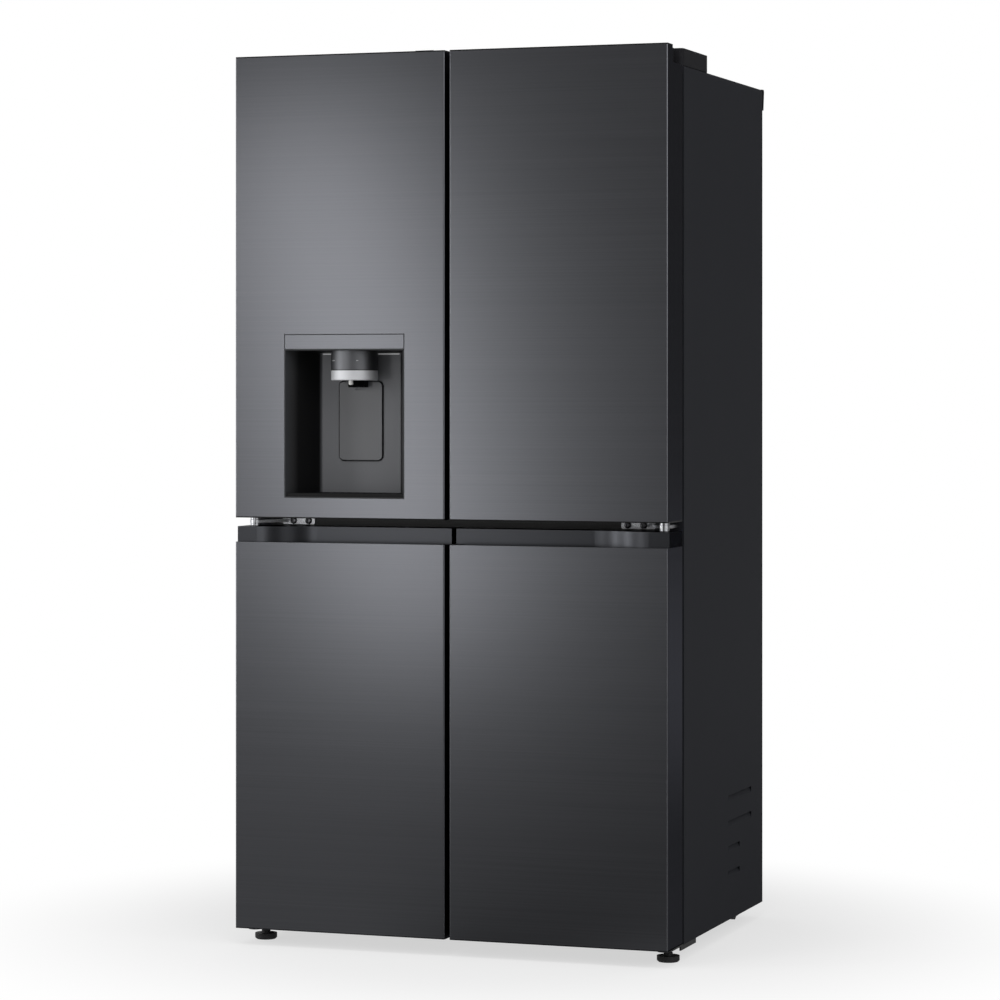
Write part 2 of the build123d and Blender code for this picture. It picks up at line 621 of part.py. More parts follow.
with BuildPart() as rear_top_trim:
    low = CAB_TOP - TRIM_HIGH
    rear = CAB_REAR + TRIM_THICK
    with BuildSketch(Plane.YZ) as section:
        with BuildLine():
            Polyline((CAB_REAR, low), (rear - TRIM_LEAN, low), (rear, CAB_TOP - TRIM_LEAN),
                     (rear - TRIM_WALL, CAB_TOP), (CAB_REAR, CAB_TOP), close=True)
        make_face()
        with BuildLine():
            Polyline((CAB_REAR, low + TRIM_WALL), (rear - TRIM_LEAN - TRIM_WALL, low + TRIM_WALL),
                     (rear - 2 * TRIM_WALL, CAB_TOP - 2 * TRIM_WALL), (CAB_REAR, CAB_TOP - TRIM_WALL),
                     close=True)
        make_face(mode=Mode.SUBTRACT)
    extrude(amount=HALF, both=True)
save(rear_top_trim.part, "rear_top_trim")

wide = HALF - SHEET
with BuildPart() as base_pan:
    block(-wide, wide, CAB_FRONT + SHEET, BACK_Y, FLOOR_GAP, PAN_TOP)
    block(-FLANGE_X, FLANGE_X, CAB_FRONT, CAB_FRONT + PAN_SHEET, FLOOR_GAP, FREEZER_FLOOR - LINER)
    with BuildSketch(Plane.YZ) as bulkhead:
        with BuildLine():
            Polyline((MACHINE_Y, PAN_TOP), (MACHINE_Y + PAN_SHEET, PAN_TOP),
                     (MACHINE_Y + MACHINE_SLOPE + PAN_SHEET, MACHINE_TOP - PAN_SHEET),
                     (BACK_Y, MACHINE_TOP - PAN_SHEET), (BACK_Y, MACHINE_TOP),
                     (MACHINE_Y + MACHINE_SLOPE, MACHINE_TOP), close=True)
        make_face()
    extrude(amount=HALF - LOUVRE_IN - LOUVRE_ROOM, both=True)
    for side in SIDES.values():
        skid = side * (wide - SKID_EDGE)
        block(skid, skid - side * SKID_WIDE, MACHINE_Y - SKID_AHEAD, MACHINE_Y - SKID_AHEAD + SKID_LONG,
              FLOOR_GAP - SKID_HIGH, FLOOR_GAP)
        for cheek in (-1, 1):
            x = side * ROLLER_X + cheek * (ROLLER_WIDE / 2 + EAR_PLAY + EAR / 2)
            block(x - EAR / 2, x + EAR / 2, ROLLER_Y - EAR_LONG / 2, ROLLER_Y + EAR_LONG / 2,
                  ROLLER_R - EAR_DROP, FLOOR_GAP)
        rod((side * ROLLER_X - ROLLER_WIDE, ROLLER_Y, ROLLER_R), (1, 0, 0),
            ROLLER_AXLE_R + RUN, 2 * ROLLER_WIDE, Mode.SUBTRACT)
save(base_pan.part, "base_pan")

with BuildPart() as cabinet_foam:
    block(-wide, wide, CAB_FRONT + LINER, BACK_Y, PAN_TOP, CAB_TOP - SHEET)
    fillet(cabinet_foam.edges().filter_by(Axis.Y).group_by(Axis.Z)[-1], CORNER_R)
    fridge_space(LINER, Mode.SUBTRACT)
    for side in SIDES.values():
        freezer_space(side, LINER, Mode.SUBTRACT)
        block(side * (HALF - LOUVRE_IN - LOUVRE_ROOM), side * HALF, LOUVRE_Y - LOUVRE_ROOM,
              LOUVRE_Y + LOUVRE_LONG + LOUVRE_ROOM,
              LOUVRE_TOP - (LOUVRE_ROWS - 1) * LOUVRE_PITCH - LOUVRE_ROOM,
              LOUVRE_TOP + LOUVRE_HIGH + LOUVRE_ROOM, Mode.SUBTRACT)
    with BuildSketch(Plane.YZ) as room:
        with BuildLine():
            Polyline((MACHINE_Y, PAN_TOP), (MACHINE_Y + MACHINE_SLOPE, MACHINE_TOP),
                     (BACK_Y, MACHINE_TOP), (BACK_Y, PAN_TOP), close=True)
        make_face()
    extrude(amount=WIDTH, both=True, mode=Mode.SUBTRACT)
save(cabinet_foam.part, "cabinet_foam")

with BuildPart() as centre_rail:
    block(-FLANGE_X, FLANGE_X, CAB_FRONT, CAB_FRONT + LINER, FREEZER_TOP + LINER, FRIDGE_FLOOR - LINER)
    line_x = HALF - MID_FIX_FAR - RAIL_LINE_END
    block(-line_x, line_x, CAB_FRONT - 1, CAB_FRONT, MID_LEVEL - RAIL_LINE / 2, MID_LEVEL + RAIL_LINE / 2)
save(centre_rail.part, "centre_rail")

with BuildPart() as freezer_post:
    post = POST_X - LINER
    block(-post, post, CAB_FRONT, CAB_FRONT + LINER, FREEZER_FLOOR - LINER, FREEZER_TOP + LINER)
save(freezer_post.part, "freezer_post")

# Liners: one upper compartment with shelf ledges, two lower ones with drawer ledges
with BuildPart() as fridge_liner:
    fridge_space(LINER)
    block(-FLANGE_X, FLANGE_X, CAB_FRONT, CAB_FRONT + LINER, FRIDGE_FLOOR - LINER, CAB_TOP - FLANGE)
    fridge_space(0, Mode.SUBTRACT)
    for side in SIDES.values():
        for level in SHELF_LEVELS:
            block(side * (INNER_X - LEDGE), side * INNER_X, SHELF_Y0, SHELF_Y1, level - LEDGE_HIGH, level)
save(fridge_liner.part, "fridge_liner")

with BuildPart() as freezer_liners:
    for side in SIDES.values():
        freezer_space(side, LINER)
        block(side * POST_X, side * FLANGE_X, CAB_FRONT, CAB_FRONT + LINER,
              FREEZER_FLOOR - LINER, FREEZER_TOP + LINER)
        freezer_space(side, 0, Mode.SUBTRACT)
        for level in DRAWER_LEVELS[1:]:
            rear = STEP_Y if level == STEP_Z else PANEL_Y - LEDGE_REAR
            for wall, inward in ((POST_X, 1), (INNER_X, -1)):
                block(side * wall, side * (wall + inward * LEDGE), DRAWER_Y0 + LEDGE_START, rear,
                      level - LEDGE_HIGH, level)
save(freezer_liners.part, "freezer_liners")

# Shelves: a moulded rim with a rebate, and the glass that drops into it
with BuildPart() as shelf_frames:
    for level in SHELF_LEVELS:
        block(-SHELF_X, SHELF_X, SHELF_Y0, SHELF_Y1, level, level + SHELF_HIGH)
        block(-SHELF_X + SHELF_RIM, SHELF_X - SHELF_RIM, SHELF_Y0 + SHELF_RIM, SHELF_Y1 - SHELF_RIM,
              level, level + SHELF_HIGH, Mode.SUBTRACT)
        lip = SHELF_RIM - GLASS_LIP
        block(-SHELF_X + lip, SHELF_X - lip, SHELF_Y0 + lip, SHELF_Y1 - lip,
              level + SHELF_HIGH - GLASS, level + SHELF_HIGH, Mode.SUBTRACT)
    fillet(shelf_frames.edges().filter_by(Axis.X).group_by(Axis.Y)[0], 3)
save(shelf_frames.part, "shelf_frames")

with BuildPart() as shelf_glass:
    lip = SHELF_RIM - GLASS_LIP + CLEAR
    for level in SHELF_LEVELS:
        block(-SHELF_X + lip, SHELF_X - lip, SHELF_Y0 + lip, SHELF_Y1 - lip,
              level + SHELF_HIGH - GLASS, level + SHELF_HIGH)
save(shelf_glass.part, "shelf_glass")


def drawer(x0, x1, y0, y1, z0, z1):
    """An open-topped drawer with rounded upright corners and a handle lip turned down at the front."""
    for inset, mode in ((0, Mode.ADD), (DRAWER_WALL, Mode.SUBTRACT)):
        with BuildSketch(Plane.XY.offset(z0 + inset)) as plan:
            with Locations(((x0 + x1) / 2, (y0 + y1) / 2)):
                RectangleRounded(x1 - x0 - 2 * inset, y1 - y0 - 2 * inset, DRAWER_CORNER - inset)
        extrude(plan.sketch, amount=z1 - z0 - inset, mode=mode)
    flat0, flat1 = x0 + DRAWER_CORNER, x1 - DRAWER_CORNER
    block(flat0, flat1, y0 - LIP_DEEP, y0, z1 - 2 * DRAWER_WALL, z1)
    block(flat0, flat1, y0 - LIP_DEEP, y0 - LIP_DEEP + DRAWER_WALL, z1 - LIP_HIGH, z1)


for name, side in SIDES.items():
    near, far = sorted((side * DRAWER_PLAY, side * (INNER_X - DRAWER_PLAY)))
    with BuildPart() as crisper:
        drawer(near, far, SHELF_Y0 + LIP_DEEP + LIP_BACK, SHELF_Y1 - CRISPER_REAR,
               FRIDGE_FLOOR, FRIDGE_FLOOR + CRISPER_HIGH - LEDGE_HIGH)
    save(crisper.part, f"crisper_{name}")

    near, far = sorted((side * (POST_X + DRAWER_PLAY), side * (INNER_X - DRAWER_PLAY)))
    with BuildPart() as freezer_drawers:
        for row, level in enumerate(DRAWER_LEVELS):
            above = (DRAWER_LEVELS + [FREEZER_TOP + LEDGE_HIGH])[row + 1]
            rear = STEP_Y - STEP_GAP if row == 0 else PANEL_Y - DRAWER_REAR
            drawer(near, far, DRAWER_Y0 + LIP_DEEP + LIP_BACK, rear, level,
                   above - LEDGE_HIGH - DRAWER_HEAD)
    save(freezer_drawers.part, f"freezer_drawers_{name}")

# Rear air tower of the upper compartment, with its outlet slots
with BuildPart() as air_tower:
    with BuildSketch(Plane.XY.offset(FRIDGE_FLOOR)) as section:
        half, front = TOWER_WIDE / 2, INNER_REAR - TOWER_DEEP
        with BuildLine():
            Polyline((-half, INNER_REAR), (-half, INNER_REAR - TOWER_EDGE), (-half + TOWER_SLANT, front),
                     (half - TOWER_SLANT, front), (half, INNER_REAR - TOWER_EDGE), (half, INNER_REAR),
                     close=True)
        make_face()
    extrude(amount=FRIDGE_TOP - FRIDGE_FLOOR)
    block(-half + TOWER_SLANT, half - TOWER_SLANT, front + LINER, INNER_REAR, FRIDGE_FLOOR + TOWER_END,
          FRIDGE_TOP - TOWER_END, Mode.SUBTRACT)
    for level in SHELF_LEVELS:
        for count in range(VENTS):
            low = level + TOWER_VENT_RISE + VENT_PITCH * count
            block(-half + TOWER_VENT_IN, half - TOWER_VENT_IN, front - 1, front + LINER + 1,
                  low, low + VENT_HIGH, Mode.SUBTRACT)
save(air_tower.part, "air_tower")

# Cold side: a finned coil behind the right lower compartment's rear panel, with the fan over it
with BuildPart() as evaporator_cover:
    for side in SIDES.values():
        near, far = sorted((side * POST_X, side * INNER_X))
        block(near, far, PANEL_Y, PANEL_Y + COVER_PANEL, STEP_Z, FREEZER_TOP)
        for level in DRAWER_LEVELS[1:]:
            for count in range(VENTS):
                low = level + COVER_VENT_RISE + VENT_PITCH * count
                block(near + COVER_VENT_IN, far - COVER_VENT_IN, PANEL_Y - 1, PANEL_Y + COVER_PANEL + 1,
                      low, low + VENT_HIGH, Mode.SUBTRACT)
    reach = EVAP_FAN_R + FAN_TIP
    rod((EVAP_X, PANEL_Y, EVAP_FAN_Z), (0, 1, 0), reach, COVER_PANEL, Mode.SUBTRACT)
    block(EVAP_X - reach - SPIDER_HOLD, EVAP_X + reach + SPIDER_HOLD, PANEL_Y, PANEL_Y + COVER_PANEL,
          EVAP_FAN_Z - EVAP_SPIDER / 2, EVAP_FAN_Z + EVAP_SPIDER / 2)
    rod((EVAP_X, PANEL_Y, EVAP_FAN_Z), (0, 1, 0), EVAP_BOSS_R, EVAP_BOSS)
    rod((EVAP_X, PANEL_Y - 1, EVAP_FAN_Z), (0, 1, 0), SHAFT_R + RUN, EVAP_BOSS + 2, Mode.SUBTRACT)
save(evaporator_cover.part, "evaporator_cover")

hub_place = (EVAP_X, EVAP_FAN_Y, EVAP_FAN_Z)
evaporator_fan = fan(hub_place, (-90, 0, 0), EVAP_FAN_R, EVAP_HUB_R, EVAP_HUB, EVAP_SHAFT)
save(evaporator_fan, "evaporator_fan")

with BuildPart() as evaporator:
    low = EVAPORATOR_TOP - EVAPORATOR_HIGH
    x0, x1 = POST_X + EVAPORATOR_SIDE, INNER_X - EVAPORATOR_SIDE
    pitch = (x1 - x0 - FIN) / (FINS - 1)
    for count in range(FINS):
        x = x0 + pitch * count
        block(x, x + FIN, FIN_Y, INNER_REAR, low, EVAPORATOR_TOP)
    rise = EVAPORATOR_HIGH / COIL_ROWS
    coil_y = (FIN_Y + INNER_REAR) / 2
    with BuildSketch(Plane.YZ.offset(x0 - COIL_END)) as tubes:
        with Locations((coil_y, low + EVAPORATOR_HIGH / 2)):
            with GridLocations(0, rise, 1, COIL_ROWS):
                RegularPolygon(TUBE_R, TUBE_SIDES)
    extrude(amount=x1 - x0 + 2 * COIL_END)
    for row in range(COIL_ROWS - 1):
        x = x1 + COIL_END if row % 2 == 0 else x0 - COIL_END
        z = low + rise * (row + 1)
        turn = 180 if row % 2 == 0 else -180
        with BuildSketch(Plane.YZ.offset(x)) as bend:
            with Locations((coil_y, z + rise / 2)):
                RegularPolygon(TUBE_R, TUBE_SIDES)
        revolve(bend.sketch, axis=Axis((x, coil_y, z), (0, 1, 0)), revolution_arc=turn)
save(evaporator.part, "evaporator")

# Machine room: compressor, condenser, fan, drain pan and the slotted rear cover
with BuildPart() as compressor:
    base = PAN_TOP + GROMMET_HIGH
    foot = base + COMPRESSOR_PLATE
    top = foot + COMPRESSOR_HIGH
    with Locations((COMPRESSOR_X, ROOM_Y)):
        with GridLocations(GROMMET_X, GROMMET_Y, 2, 2):
            with Locations((0, 0, PAN_TOP + GROMMET_HIGH / 2)):
                Cylinder(GROMMET_R, GROMMET_HIGH)
    long, deep = GROMMET_X / 2 + PLATE_EDGE, GROMMET_Y / 2 + PLATE_EDGE
    block(COMPRESSOR_X - long, COMPRESSOR_X + long, ROOM_Y - deep, ROOM_Y + deep, base, foot)
    with BuildSketch(Plane.XZ) as half_shell:
        with BuildLine():
            brim = top - COMPRESSOR_DOME
            Polyline((0, top), (0, foot), (COMPRESSOR_R, foot), (COMPRESSOR_R, brim))
            EllipticalCenterArc((0, brim), COMPRESSOR_R, COMPRESSOR_DOME, start_angle=0, arc_size=90)
        make_face()
    shell = revolve(half_shell.sketch, axis=Axis.Z, mode=Mode.PRIVATE)
    with Locations((COMPRESSOR_X, ROOM_Y, 0)):
        add(shell)
    block(COMPRESSOR_X, COMPRESSOR_X + COMPRESSOR_R + TERMINAL_OUT, ROOM_Y - TERMINAL_WIDE / 2,
          ROOM_Y + TERMINAL_WIDE / 2, base + TERMINAL_LOW, base + TERMINAL_LOW + TERMINAL_HIGH)
    rod((COMPRESSOR_X - PIPE_X, ROOM_Y - PIPE_Y, brim), (0, 0, 1), TUBE_R, PIPE_LONG)
save(compressor.part, "compressor")

with BuildPart() as condenser:
    y0, y1 = ROOM_Y - CONDENSER_DEEP / 2, ROOM_Y + CONDENSER_DEEP / 2
    for x in (CONDENSER_X0, CONDENSER_X1 - CONDENSER_PLATE):
        block(x, x + CONDENSER_PLATE, y0, y1, PAN_TOP, COIL_TOP)
    with BuildSketch(Plane.YZ.offset(CONDENSER_X0 - TUBE_END)) as tubes:
        with Locations((ROOM_Y, PAN_TOP + CONDENSER_HIGH / 2)):
            with GridLocations(CONDENSER_DEEP / CONDENSER_ROWS, CONDENSER_HIGH / CONDENSER_ROWS,
                               CONDENSER_ROWS, CONDENSER_ROWS):
                RegularPolygon(TUBE_R, TUBE_SIDES)
    extrude(amount=CONDENSER_LONG + 2 * TUBE_END)
save(condenser.part, "condenser")

with BuildPart() as drain_pan:
    x0, x1 = CONDENSER_X0 - DRAIN_EDGE, CONDENSER_X1 + DRAIN_EDGE
    block(x0, x1, y0, y1, COIL_TOP, COIL_TOP + DRAIN_HIGH)
    block(x0 + DRAIN_WALL, x1 - DRAIN_WALL, y0 + DRAIN_WALL, y1 - DRAIN_WALL,
          COIL_TOP + DRAIN_WALL, COIL_TOP + DRAIN_HIGH, Mode.SUBTRACT)
save(drain_pan.part, "drain_pan")

with BuildPart() as fan_bracket:
    frame, reach = FAN_R + FAN_FRAME, FAN_R + FAN_TIP
    block(BRACKET_X, BRACKET_X + FAN_PLATE, ROOM_Y - frame, ROOM_Y + frame, PAN_TOP, FAN_Z + frame)
    rod((BRACKET_X, ROOM_Y, FAN_Z), (1, 0, 0), reach, FAN_PLATE, Mode.SUBTRACT)
    block(BRACKET_X, BRACKET_X + FAN_PLATE, ROOM_Y - reach - SPIDER_HOLD, ROOM_Y + reach + SPIDER_HOLD,
          FAN_Z - SPIDER / 2, FAN_Z + SPIDER / 2)
    rod((BRACKET_X, ROOM_Y, FAN_Z), (1, 0, 0), MOTOR_R, MOTOR_LONG)
    rod((BRACKET_X, ROOM_Y, FAN_Z), (1, 0, 0), SHAFT_R + RUN, FAN_SHAFT, Mode.SUBTRACT)
save(fan_bracket.part, "fan_bracket")
hub_x = BRACKET_X - FAN_PLAY - FAN_HUB / 2
condenser_fan = fan((hub_x, ROOM_Y, FAN_Z), (0, -90, 0), FAN_R, FAN_HUB_R, FAN_HUB, FAN_SHAFT)
save(condenser_fan, "condenser_fan")

with BuildPart() as machine_cover:
    block(-HALF + SHEET, HALF - SHEET, BACK_Y, CAB_REAR, FLOOR_GAP, MACHINE_TOP)
    with BuildSketch(Plane.XZ.offset(-CAB_REAR)) as slots:
        with Locations((0, (FLOOR_GAP + MACHINE_TOP) / 2)):
            with GridLocations(SLOT_PITCH, SLOT_RISE, SLOTS, 2):
                Rectangle(SLOT_WIDE, SLOT_HIGH)
    extrude(amount=2 * SHEET, both=True, mode=Mode.SUBTRACT)
    gland_x, gland_z = HALF - GLAND_IN, FLOOR_GAP + GLAND_UP
    rod((gland_x, CAB_REAR, gland_z), (0, 1, 0), GLAND_R, GLAND_LONG)
    rod((gland_x, BACK_Y, gland_z), (0, 1, 0), CORD_R, SHEET + GLAND_LONG, Mode.SUBTRACT)
save(machine_cover.part, "machine_cover")

# Hinges: steel plates with pressed-in pins, and the plastic covers over the top ones
with BuildPart() as top_hinges:
    for side in SIDES.values():
        arm_out, arm_in = HINGE_X + ARM_OUT, NOTCH_X + ARM_GAP
        plate_in = HALF - COVER_EDGE - COVER_WIDE + COVER_WALL + PLATE_GAP
        plate_rear = CAB_FRONT + COVER_LONG - PLATE_SHORT
        with BuildSketch(Plane.XY.offset(CAB_TOP)) as plate:
            with Locations((side * HINGE_X, HINGE_Y)):
                Circle(ARM_R)
            with Locations((side * (arm_out + arm_in) / 2, (HINGE_Y + plate_rear) / 2)):
                Rectangle(arm_out - arm_in, plate_rear - HINGE_Y)
            with Locations((side * (arm_out + plate_in) / 2, (CAB_FRONT + PLATE_START + plate_rear) / 2)):
                Rectangle(arm_out - plate_in, plate_rear - CAB_FRONT - PLATE_START)
        extrude(amount=HINGE_PLATE)
        pin = CAB_TOP - NOTCH_Z + PIN_LONG - PIN_SHORT
        rod((side * HINGE_X, HINGE_Y, CAB_TOP), (0, 0, -1), PIN_R, pin)
save(top_hinges.part, "top_hinges")

with BuildPart() as hinge_covers:
    over = CAB_TOP + HINGE_PLATE + CLEAR
    nose = HINGE_Y + ARM_R + 2
    nose_out, nose_in = HINGE_X + NOSE_OUT, NOTCH_X + NOSE_GAP
    for inset, mode in ((0, Mode.ADD), (COVER_WALL, Mode.SUBTRACT)):
        for side in SIDES.values():
            with BuildSketch(Plane.XY.offset(CAB_TOP)) as plan:
                with Locations((side * (HALF - COVER_EDGE - COVER_WIDE / 2), CAB_FRONT + COVER_LONG / 2)):
                    RectangleRounded(COVER_WIDE - 2 * inset, COVER_LONG - 2 * inset, COVER_R - inset)
            extrude(plan.sketch, amount=HEIGHT - inset - CAB_TOP, mode=mode)
            block(side * (nose_out - inset), side * (nose_in + inset), nose + inset,
                  CAB_FRONT + COVER_R + inset, over - inset, HEIGHT - inset, mode)
    for side in SIDES.values():
        slot_out, slot_in = HINGE_X + ARM_OUT + COVER_WALL, NOTCH_X + ARM_GAP - COVER_WALL
        block(side * slot_out, side * slot_in, CAB_FRONT - 1, CAB_FRONT + COVER_R, CAB_TOP, over,
              Mode.SUBTRACT)
save(hinge_covers.part, "hinge_covers")

with BuildPart() as mid_hinges:
    low = MID_LEVEL - MID_PLATE / 2
    near, far = HALF - MID_FIX_NEAR, HALF - MID_FIX_FAR
    root_in, root_out = near - MID_ARM_ROOT, HINGE_X + ARM_R
    pin = MID_GAP / 2 - MID_PLATE / 2 + PIN_LONG - PIN_SHORT
    for side in SIDES.values():
        with BuildSketch(Plane.XZ.offset(-CAB_FRONT)) as fixing:
            with Locations((side * (near + far) / 2, MID_LEVEL)):
                RectangleRounded(near - far, MID_FIX_HIGH, MID_FIX_R)
        extrude(amount=MID_FIX_THICK)
        with BuildSketch(Plane.XY.offset(low)) as arm:
            with Locations((side * HINGE_X, HINGE_Y)):
                Circle(ARM_R)
            with Locations((side * (root_in + root_out) / 2, CAB_FRONT - MID_ARM_DEEP / 2)):
                Rectangle(root_out - root_in, MID_ARM_DEEP)
            make_hull()
        extrude(amount=MID_PLATE)
        rod((side * HINGE_X, HINGE_Y, low + MID_PLATE), (0, 0, 1), PIN_R, pin)
        rod((side * HINGE_X, HINGE_Y, low), (0, 0, -1), PIN_R, pin)
save(mid_hinges.part, "mid_hinges")

with BuildPart() as bottom_hinges:
    under = FLOOR_GAP - BOTTOM_PLATE
    y0 = CAB_FRONT + BRACKET_START
    y1 = y0 + BRACKET_LONG
    for side in SIDES.values():
        with BuildSketch(Plane.XY.offset(under)) as plate:
            with Locations((side * HINGE_X, HINGE_Y)):
                Circle(ARM_R + BOTTOM_PLATE / 2)
            with Locations((side * FOOT_X, FOOT_Y)):
                Circle(3 * FOOT_STEM_R)
            with Locations((side * (HALF - BRACKET_EDGE - BRACKET_WIDE / 2), (y0 + y1) / 2)):
                Rectangle(BRACKET_WIDE, BRACKET_LONG)
            make_hull()
        extrude(amount=BOTTOM_PLATE)
        lip = side * (HALF - BRACKET_EDGE)
        block(lip, lip - side * EAR, y0, y1, under - BRACKET_LIP, under)
        rod((side * HINGE_X, HINGE_Y, FLOOR_GAP), (0, 0, 1), PIN_R, DOOR_LIFT + PIN_LONG - PIN_SHORT)
        rod((side * FOOT_X, FOOT_Y, 0), (0, 0, 1), FOOT_STEM_R + RUN, FLOOR_GAP, Mode.SUBTRACT)
save(bottom_hinges.part, "bottom_hinges")

# Front feet screw up and down in the bottom hinges; rear rollers turn in the base pan's ears
for name, side in SIDES.items():
    with BuildPart() as foot:
        with BuildSketch(Plane.XZ.offset(-FOOT_Y)) as half_foot:
            with BuildLine():
                x = side * FOOT_X
                neck = FOOT_HIGH + FOOT_NECK
                Polyline((x, 0), (x + FOOT_R - FOOT_EDGE, 0), (x + FOOT_R, FOOT_EDGE),
                         (x + FOOT_R, FOOT_HIGH), (x + FOOT_NECK_R, FOOT_HIGH),
                         (x + FOOT_NECK_R, neck), (x + FOOT_STEM_R, neck),
                         (x + FOOT_STEM_R, FLOOR_GAP - CLEAR), (x, FLOOR_GAP - CLEAR), close=True)
            make_face()
        revolve(axis=Axis((side * FOOT_X, FOOT_Y, 0), (0, 0, 1)))
    save(foot.part, f"front_foot_{name}")

    with BuildPart() as roller:
        x = side * ROLLER_X
        long = ROLLER_WIDE + 2 * (EAR_PLAY + EAR + EAR_PLAY)
        rod((x - ROLLER_WIDE / 2, ROLLER_Y, ROLLER_R), (1, 0, 0), ROLLER_R, ROLLER_WIDE)
        rod((x - long / 2, ROLLER_Y, ROLLER_R), (1, 0, 0), ROLLER_AXLE_R, long)
    save(roller.part, f"rear_roller_{name}")


def seal_ring(x0, x1, z0, z1, width, thick):
    """A rectangular ring of seal on a door's rear face."""
    with BuildSketch(Plane.XZ.offset(-DOOR_REAR)) as ring:
        with Locations(((x0 + x1) / 2, (z0 + z1) / 2)):
            Rectangle(abs(x1 - x0), z1 - z0)
            Rectangle(abs(x1 - x0) - 2 * width, z1 - z0 - 2 * width, mode=Mode.SUBTRACT)
    extrude(ring.sketch, amount=-thick)


def door_seal(side, low, high, node):
    """Magnetic gasket: a flat base that the liner holds, and the bulb that meets the cabinet."""
    x0, x1 = sorted((side * (DOOR_INNER + SEAL_EDGE / 2), side * (HALF - SEAL_EDGE)))
    step = (SEAL_WIDE - SEAL_BULB) / 2
    with BuildPart() as gasket:
        seal_ring(x0, x1, low, high, SEAL_WIDE, SEAL_BASE)
        seal_ring(x0 + step, x1 - step, low + step, high - step, SEAL_BULB, SEAL_GAP - SEAL_PLAY)
    save(gasket.part, node)


def dike(side, near, far, low, high):
    """Raised frame of a door liner, drafted outside and straight inside, where the bins hang."""
    with BuildSketch(Plane.XZ.offset(-DOOR_REAR)) as foot:
        with Locations((side * (near + far) / 2, (low + high) / 2)):
            Rectangle(far - near, high - low)
    extrude(foot.sketch, amount=-DIKE_DEEP, taper=DIKE_DRAFT)
    block(side * (near + DIKE_WIDE), side * (far - DIKE_WIDE), DOOR_REAR, DIKE_REAR,
          low + DIKE_WIDE, high - DIKE_WIDE, Mode.SUBTRACT)


def hinge_notch(side):
    """Cut in an upper door's outer rear corner for the top hinge, rounded where its walls meet."""
    with BuildSketch(Plane.XY.offset(NOTCH_Z)) as cut:
        with Locations((side * (HALF + NOTCH_X) / 2, (NOTCH_Y + DOOR_REAR) / 2)):
            Rectangle(NOTCH_WIDE, DOOR_REAR - NOTCH_Y)
        fillet(cut.vertices().sort_by_distance((side * NOTCH_X, NOTCH_Y, NOTCH_Z))[0], NOTCH_R)
    extrude(cut.sketch, amount=HEIGHT - NOTCH_Z, mode=Mode.SUBTRACT)


# Upper doors
for name, side in SIDES.items():
    with BuildPart() as skin:
        low, high = UPPER_BOTTOM + CAP_LIP, HEIGHT - CAP_LIP
        extrude(door_plan(side, low, 0, DOOR_REAR), amount=high - low)
        extrude(door_plan(side, low, SKIN, DOOR_REAR + 1), amount=high - low, mode=Mode.SUBTRACT)
        hinge_notch(side)
        if name == "left":
            block(DISP_X - DISP_WIDE / 2, DISP_X + DISP_WIDE / 2, FRONT - 1, FRONT + 2 * SKIN,
                  DISP_LOW, DISP_TOP, Mode.SUBTRACT)
    save(skin.part, f"upper_{name}_skin")

    with BuildPart() as caps:
        extrude(door_plan(side, UPPER_BOTTOM, 0, DOOR_REAR), amount=CAP_LIP)
        plug = GRIP_TOP - UPPER_BOTTOM - CAP_LIP
        extrude(door_plan(side, UPPER_BOTTOM + CAP_LIP, SKIN, DOOR_REAR), amount=plug)
        block(side * (DOOR_INNER + POCKET_END), side * GRIP_X, FRONT + GRIP_LIP, FRONT + STRIP_BACK,
              UPPER_BOTTOM, UPPER_BOTTOM + GRIP_HIGH, Mode.SUBTRACT)
        rod((side * HINGE_X, HINGE_Y, UPPER_BOTTOM), (0, 0, 1), PIN_R + RUN, PIN_LONG, Mode.SUBTRACT)
        extrude(door_plan(side, HEIGHT - CAP_LIP, 0, DOOR_REAR), amount=CAP_LIP)
        extrude(door_plan(side, CAP_TOP_LOW, SKIN, DOOR_REAR), amount=CAP_PLUG)
        block(side * (HALF - SKIN), side * (HALF - BOSS_LONG), BOSS_Y, DOOR_REAR, BOSS_LOW, CAP_TOP_LOW)
        hinge_notch(side)
        rod((side * HINGE_X, HINGE_Y, NOTCH_Z), (0, 0, -1), PIN_R + RUN, PIN_LONG, Mode.SUBTRACT)
    save(caps.part, f"upper_{name}_caps")

    with BuildPart() as liner:
        extrude(door_plan(side, GRIP_TOP, SKIN, DOOR_REAR), amount=CAP_TOP_LOW - GRIP_TOP)
        block(side * HALF, side * (HALF - BOSS_LONG), BOSS_Y, DOOR_REAR, BOSS_LOW, HEIGHT, Mode.SUBTRACT)
        dike(side, DIKE_CENTRE, DIKE_OUT, DIKE_LOW, DIKE_TOP)
        if name == "left":
            block(-BIN_X0, -BIN_X1, DOOR_REAR, DIKE_REAR, DIKE_LOW, BEHIND_TOP)
            housing_envelope(Mode.SUBTRACT)
            for level in (BAR_TOP + CLEAR, BAR_LOW - CLEAR - BAR_ARM):
                block(BAR_X - BAR_ARM_WIDE / 2, BAR_X + BAR_ARM_WIDE / 2, DOOR_REAR, BAR_Y + BAR_ARM_END,
                      level, level + BAR_ARM)
                rod((BAR_X, BAR_Y, level - 1), (0, 0, 1), BAR_PIN_R + RUN, BAR_ARM + 2, Mode.SUBTRACT)
    save(liner.part, f"upper_{name}_liner")
    door_seal(side, UPPER_BOTTOM + SEAL_LOW, CAB_TOP - SEAL_TOP, f"upper_{name}_gasket")

